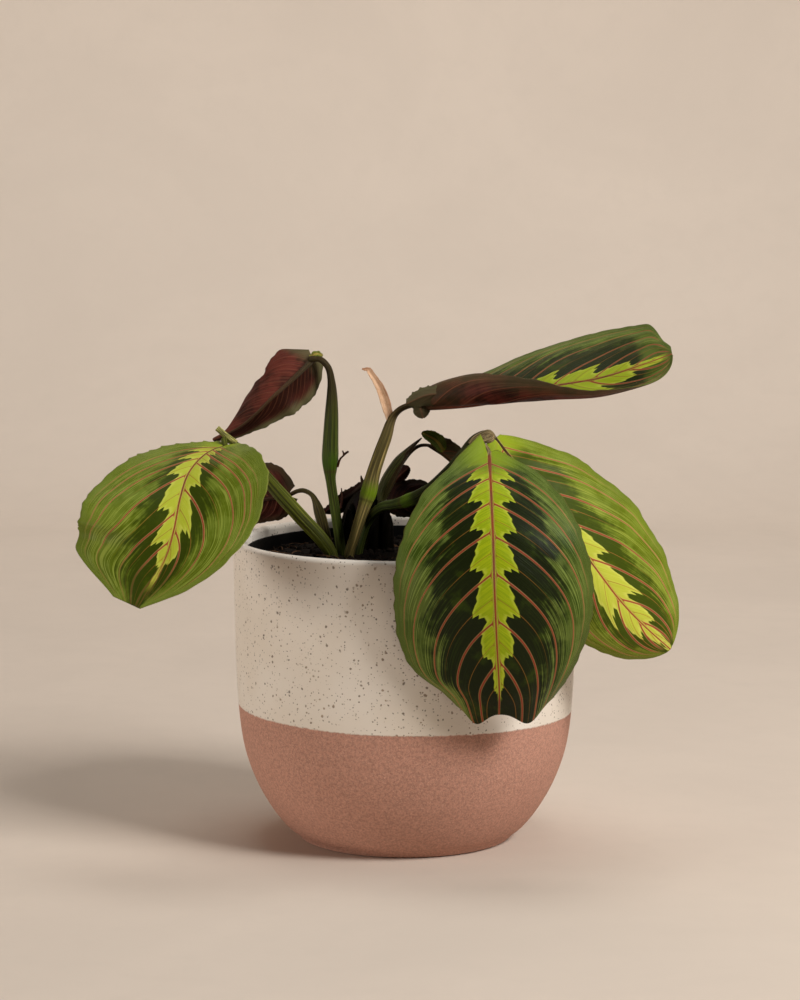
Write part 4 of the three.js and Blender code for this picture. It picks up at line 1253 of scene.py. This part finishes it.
def stem_finish(name, stem, sizes):
    """Green with long darker grooves and pale streaks, browner towards the top, bright at its nodes."""
    skin = Finish(name, gloss=stem.get("gloss", 0.15))
    run, x, y = (skin.attribute(title) for title in ("run", "section_x", "section_y"))
    streak = skin.noise(skin.vector(x * 2.4, y * 2.4, run * 1.3), 1.7)
    fine = skin.noise(skin.vector(x * 8.0, y * 8.0, run * 4.0), 1.4, 2.0, 0.6)
    speck = skin.noise(skin.place(), 900.0)
    red, green, blue = stem["green"]
    # Painted shade: the brown is scaled down for strands deep in the shaded crown.
    brown = opaque([c * stem.get("dim", 1.0) for c in sizes.stem_brown])
    coats = [
        (streak.rise(0.38, 0.6), paint(red, green, blue)),
        (
            streak.rise(0.58, 0.66) * fine.rise(0.35, 0.6) * 0.7,
            paint(min(red * 1.5, 255), min(green * 1.4, 255), blue * 1.6),
        ),
        (fine.rise(0.46, 0.34) * 0.5, brown),
    ]
    if "brown" in stem:
        top = 1 - stem["brown"]
        aged = (run + (streak - 0.5) * 0.4).rise(top - 0.15, top + 0.2)
        coats.append((aged * 0.85, skin.blend(fine.rise(0.35, 0.65), paint(44, 30, 18), brown)))
    for spot, reach, bright in stem.get("nodes", []):
        near = abs(run - spot + (streak - 0.5) * reach)
        scar = abs(run - (spot - reach * 0.8))
        coats += [(near.fall(0.0, reach * 1.5, 0.9), paint(*bright)), (scar.fall(0.002, 0.012, 0.5), brown)]
    low, high = stem.get("rib", ((116, 46, 32), (160, 92, 66)))
    coats.append((run.rise(1.02, 1.3) * 0.9, skin.blend(fine, paint(*low), paint(*high))))
    colour = skin.layers(paint(red * 0.6, green * 0.6, blue * 0.6), *coats)
    relief = (streak - 0.5) * 0.9 + (fine - 0.5) * 0.7 + (speck - 0.5) * 0.2
    return skin.wear(colour, 0.5 + (fine - 0.5) * 0.2, skin.bump(relief, 0.0006, 0.8))


def dry_finish():
    """Dry tan sheath with long fibres, browner at its tip and one edge."""
    dry = Finish("dry sheath", gloss=0.25)
    run, across = dry.attribute("run"), dry.attribute("across")
    grain = dry.noise(dry.place(), 500.0, 3.0, 0.6)
    fibre = dry.noise(dry.vector(across * 2.5, run * 3.0, 0.0), 3.0, 2.0, 0.6)
    colour = dry.layers(
        paint(196, 152, 116),
        (fibre.rise(0.35, 0.65), paint(222, 186, 152)),
        (grain.rise(0.5, 0.7) * 0.5, paint(176, 128, 92)),
        (run.rise(0.6, 0.95).highest(across.rise(-0.5, -1.0)) * 0.6, paint(150, 92, 58)),
    )
    return dry.wear(colour, 0.7 + (grain - 0.5) * 0.2, dry.bump(grain, 0.0003, 0.6))


def paper_finish(sizes):
    """Pale paper with faint clouds and flecks."""
    paper = Finish("seamless paper", gloss=0.1)
    place = paper.place()
    cloud = paper.noise(place, 5.0, 4.0, 0.6, 0.6)
    fleck = paper.noise(place, 60.0, 3.0, 0.6)
    deeper = opaque([c * 0.93 for c in sizes.paper_colour])
    colour = paper.layers(
        opaque(sizes.paper_colour),
        (cloud.rise(0.3, 0.7) * 0.7, deeper),
        (fleck.rise(0.45, 0.7) * 0.25, deeper),
    )
    return paper.wear(colour, 0.9 + (fleck - 0.5) * 0.05)


def length_property(name, description, default):
    """A length in metres."""
    settings = {"unit": "LENGTH", "subtype": "DISTANCE"}
    return FloatProperty(name=name, description=description, default=default, **settings)


def power_property(name, description, default):
    """A lamp's power in watts."""
    return FloatProperty(name=name, description=description, default=default, unit="POWER")


def count_property(name, description, default, least):
    """A whole number with its least value."""
    return IntProperty(name=name, description=description, default=default, min=least)


def amount_property(name, description, default):
    """A number from zero up."""
    return FloatProperty(name=name, description=description, default=default, min=0)


def colour_property(name, description, colour, top=1):
    """A colour with channels from zero to top."""
    settings = {"subtype": "COLOR", "min": 0, "max": top}
    return FloatVectorProperty(name=name, description=description, default=colour[:3], **settings)


class PotSizes(bpy.types.PropertyGroup):
    sides: count_property("Sides", "Facets round a turned piece", 192, 24)
    dip_height: length_property("Dip height", "Where the glaze starts", 0.0525)
    glaze_colour: colour_property("Glaze", "Colour of the glaze", paint(230, 220, 207))
    clay_colour: colour_property("Clay", "Colour of the bare clay", paint(192, 141, 120))


class SoilSizes(bpy.types.PropertyGroup):
    crumb_density: amount_property("Crumbs", "Crumbs per square metre", 90000.0)
    fibre_density: amount_property("Fibres", "Fibres per square metre", 9000.0)
    smallest_crumb: length_property("Smallest crumb", "Radius of the smallest crumb", 0.0003)
    largest_crumb: length_property("Largest crumb", "Radius of the largest crumb", 0.0016)
    fibre_length: length_property("Fibre length", "Length of the longest fibre", 0.011)
    fibre_radius: length_property("Fibre radius", "Radius of a fibre", 0.00018)
    soil_colour: colour_property("Soil", "Colour of damp soil", paint(17, 12, 8))


class PlantSizes(bpy.types.PropertyGroup):
    blade_thickness: length_property("Blade", "Thickness of a leaf", 0.0005)
    stem_sides: count_property("Stem sides", "Facets round a stem", 36, 8)
    stem_brown: colour_property("Old sheath", "Colour of old sheath", paint(70, 48, 30))
    vein_tint: colour_property("Vein tint", "Tints the side veins", (1.0, 1.0, 1.0), 2)


class StageSizes(bpy.types.PropertyGroup):
    paper_colour: colour_property("Paper", "Colour of the floor", paint(214, 199, 184))
    key_power: power_property("Key light", "Power of the key light", 22.0)
    side_power: power_property("Side light", "Power of the side light", 9.5)
    back_power: power_property("Back light", "Power from above", 13.0)
    sweep_power: power_property("Sweep light", "Power on the backdrop", 26.0)
    world_light: amount_property("Room light", "Strength of the room's light", 0.03)


class PLANT_OT_stage(bpy.types.Operator):
    """Makes the floor, the lights and the camera"""

    bl_idname = "plant.stage"
    bl_label = "Stage"

    def execute(self, context):
        sizes = context.scene.plant_stage
        self.sweep(paper_finish(sizes))
        for name in LAMPS:
            self.lamp(context, name, getattr(sizes, f"{name}_power"))
        self.camera(context)
        world = bpy.data.worlds.new("room")
        world.use_nodes = True
        world.node_tree.nodes["Background"].inputs[0].default_value = ROOM_COLOUR
        world.node_tree.nodes["Background"].inputs[1].default_value = sizes.world_light
        context.scene.world = world
        context.scene.view_settings.view_transform = "Standard"
        return {"FINISHED"}

    def sweep(self, paper):
        """The floor, which bends up behind the pot into a backdrop."""
        bend = np.radians(np.linspace(0, 90, 24))
        curve = [(SWEEP_START + SWEEP_BEND * math.sin(a), SWEEP_BEND * (1 - math.cos(a))) for a in bend]
        profile = [(-SWEEP_REACH, 0), *curve, (SWEEP_START + SWEEP_BEND, SWEEP_TOP)]
        across = np.linspace(-SWEEP_REACH, SWEEP_REACH, 3)
        points = [(x, y, z) for y, z in profile for x in across]
        columns = len(across)
        corners = [r * columns + c for r in range(len(profile) - 1) for c in range(columns - 1)]
        faces = [(at, at + 1, at + columns + 1, at + columns) for at in corners]
        return mesh_object("floor", points, faces, [paper])

    def lamp(self, context, name, watts):
        kind, place, target, size, colour = LAMPS[name]
        light = bpy.data.lights.new(name, kind)
        if kind == "AREA":
            light.size = size
        else:
            light.shadow_soft_size = size
            light.spot_size = math.radians(SPOT_ANGLE)
            light.spot_blend = 1.0
        light.energy = watts
        light.color = colour
        thing = bpy.data.objects.new(name, light)
        thing.location = place
        thing.rotation_euler = (Vector(target) - Vector(place)).to_track_quat("-Z", "Y").to_euler()
        context.scene.collection.objects.link(thing)

    def camera(self, context):
        camera = bpy.data.cameras.new("camera")
        camera.lens = STAGE_CAMERA["lens"]
        camera.sensor_width = STAGE_CAMERA["sensor"]
        camera.clip_end = STAGE_CAMERA["reach"]
        holder = bpy.data.objects.new("camera", camera)
        holder.location = STAGE_CAMERA["place"]
        holder.rotation_euler = (math.radians(STAGE_CAMERA["tilt"]), 0, 0)
        context.scene.collection.objects.link(holder)
        context.scene.camera = holder


class PLANT_OT_pots(bpy.types.Operator):
    """Makes the ceramic pot and the nursery pot in it"""

    bl_idname = "plant.pots"
    bl_label = "Pots"

    def execute(self, context):
        sizes = context.scene.plant_pot
        tree = turned_tree()
        for name, profile, material, slot in (
            ("ceramic_pot", pot_profile(), pot_finish(sizes), "glazed_stoneware"),
            ("nursery_pot", nursery_profile(), plastic_finish(), "nursery_plastic"),
        ):
            outline = outline_object(f"{name}_outline", profile)
            turned = grown(outline, tree, {"Sides": sizes.sides, "Material": material}, f"turned_{name}")
            seat(face_outwards(turned), slot, name)
        return {"FINISHED"}


class PLANT_OT_soil(bpy.types.Operator):
    """Makes the soil with its crumbs and root fibres"""

    bl_idname = "plant.soil"
    bl_label = "Soil"

    def execute(self, context):
        sizes = context.scene.plant_soil
        points, top, rest = self.bed()
        crumbs = {"Density": sizes.crumb_density, "Seed": CRUMB_SEED}
        crumbs |= {"Smallest": sizes.smallest_crumb, "Largest": sizes.largest_crumb}
        fibres = {"Density": sizes.fibre_density, "Seed": FIBRE_SEED}
        fibres |= {"Length": sizes.fibre_length, "Thickness": sizes.fibre_radius}
        bed = face_outwards(mesh_object("soil_bed", points, top + rest, [soil_finish(sizes)]))
        for name, tree, settings, finish in (
            ("soil_crumbs", crumb_tree(), crumbs, soil_finish(sizes, "soil crumb", 12)),
            ("soil_fibres", fibre_tree(), fibres, fibre_finish()),
        ):
            surface = mesh_object(f"{name}_surface", points, top, [])
            seat(grown(surface, tree, {**settings, "Material": finish}, name), "potting_soil")
        seat(bed, "potting_soil", "soil")
        return {"FINISHED"}

    def bed(self):
        """The bed's points, the faces of its uneven top and those of its side and underside."""
        rings, sides = SOIL_GRID
        rng = np.random.default_rng(WAVE_SEED)
        waves = rng.normal(size=(WAVE_COUNT, 2)) * WAVE_FINENESS
        phases = rng.uniform(0, 6.28, WAVE_COUNT)
        angles = np.linspace(0, 2 * np.pi, sides, endpoint=False)
        points = []
        for ring in range(1, rings + 1):
            share = ring / rings
            radius = SOIL_RADIUS * ring / rings
            x, y = radius * np.cos(angles), radius * np.sin(angles)
            bumps = sum(np.sin(x * a + y * b + p) for (a, b), p in zip(waves, phases))
            height = SOIL_TOP - SOIL_SAG * share**2 + WAVE_HEIGHT * bumps * (1 - share**8)
            points.extend(zip(x, y, height))
        edge, centre = (rings - 1) * sides, rings * sides
        below = centre + 1
        rim = [(x, y, SOIL_UNDERSIDE) for x, y, _ in points[edge:]]
        points = [*points, (0, 0, SOIL_TOP), *rim, (0, 0, SOIL_UNDERSIDE)]
        top, rest = [], []
        for side in range(sides):
            ahead = (side + 1) % sides
            top.append((centre, side, ahead))
            for inner in range(0, edge, sides):
                outer = inner + sides
                top.append((inner + side, outer + side, outer + ahead, inner + ahead))
            rest.append((edge + side, below + side, below + ahead, edge + ahead))
            rest.append((below + side, below + sides, below + ahead))
        return points, top, rest


class PLANT_OT_stems(bpy.types.Operator):
    """Makes the stems with their forks"""

    bl_idname = "plant.stems"
    bl_label = "Stems"

    def execute(self, context):
        sizes = context.scene.plant_sizes
        tree = tube_tree()
        for name, stem in STEMS.items():
            x, y, z, radius = stem["points"][0]
            paths = [[(x, y, z - STEM_FOOT, radius), *stem["points"]], *stem.get("branches", [])]
            strands = []
            for path, blade in zip(paths, stem["blades"]):
                midrib = midrib_points(LEAVES[blade], path[-1][3]) if blade else []
                strands.append(path_points([*path, *midrib], STEM_STEP, len(path)))
            settings = {"Sides": sizes.stem_sides, "Flatness": stem["flat"], **STEM_RIDGES}
            settings["Material"] = stem_finish(f"{name} skin", stem, sizes)
            tube = grown(path_object(f"{name}_path", strands), tree, settings, f"grown_{name}")
            seat(face_outwards(tube), "green_stem", name)
        return {"FINISHED"}


class PLANT_OT_leaves(bpy.types.Operator):
    """Makes the leaf blades with their veins"""

    bl_idname = "plant.leaves"
    bl_label = "Leaves"

    def execute(self, context):
        sizes = context.scene.plant_sizes
        thickness = sizes.blade_thickness / MM
        for name, leaf in (LEAVES | LOBES).items():
            look = leaf_look(leaf, sizes)
            skins = [upper_skin(f"{name} upper", leaf, look), under_skin(f"{name} under", leaf, look)]
            grid = LARGE_GRID if leaf["half"][1] > LARGE_HALF else SMALL_GRID
            blade = make_blade(f"grown_{name}", leaf, grid, thickness, skins)
            seat(blade, "leaf_blade", *([name] if name in LEAVES else []))
        return {"FINISHED"}


class PLANT_OT_dry_parts(bpy.types.Operator):
    """Makes the dry bract, the old sheaths and the small strands among the stems"""

    bl_idname = "plant.dry_parts"
    bl_label = "Dry parts"

    def execute(self, context):
        dry = dry_finish()
        blade = make_blade("grown_dry_bract", BRACT, BRACT_GRID, BRACT_THICKNESS, [dry, dry])
        seat(blade, "dry_bract", "dry_bract")
        sizes = context.scene.plant_sizes
        tree = tube_tree()
        for name, strand in STRANDS.items():
            settings = {"Sides": STRAND_SIDES, "Flatness": strand["flat"], **STRAND_RIDGES}
            settings["Material"] = stem_finish(f"{name} skin", strand, sizes)
            strands = [path_points(path, STRAND_STEP) for path in strand["paths"]]
            tube = grown(path_object(f"{name}_path", strands), tree, settings, name)
            seat(face_outwards(tube), strand["slot"])
        return {"FINISHED"}


class PLANT_PT_panel(bpy.types.Panel):
    """Lists the pieces of the plant"""

    bl_label = "Prayer plant"
    bl_idname = "PLANT_PT_panel"
    bl_space_type = "VIEW_3D"
    bl_region_type = "UI"
    bl_category = "Prayer plant"

    def draw(self, context):
        for name, group in GROUPS.items():
            sizes = getattr(context.scene, name)
            for title in group.__annotations__:
                self.layout.prop(sizes, title)
        for operator in STEPS:
            self.layout.operator(operator.bl_idname)


GROUPS = {
    "plant_stage": StageSizes,
    "plant_pot": PotSizes,
    "plant_soil": SoilSizes,
    "plant_sizes": PlantSizes,
}
STEPS = (PLANT_OT_stage, PLANT_OT_pots, PLANT_OT_soil, PLANT_OT_stems, PLANT_OT_leaves, PLANT_OT_dry_parts)


def register():
    for item in (*GROUPS.values(), *STEPS, PLANT_PT_panel):
        bpy.utils.register_class(item)
    for name, group in GROUPS.items():
        setattr(bpy.types.Scene, name, PointerProperty(type=group))


def unregister():
    for name in GROUPS:
        delattr(bpy.types.Scene, name)
    for item in (PLANT_PT_panel, *reversed(STEPS), *GROUPS.values()):
        bpy.utils.unregister_class(item)


def main():
    register()
    for operator in STEPS:
        family, name = operator.bl_idname.split(".")
        getattr(getattr(bpy.ops, family), name)()
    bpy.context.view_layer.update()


if __name__ == "__main__":
    main()
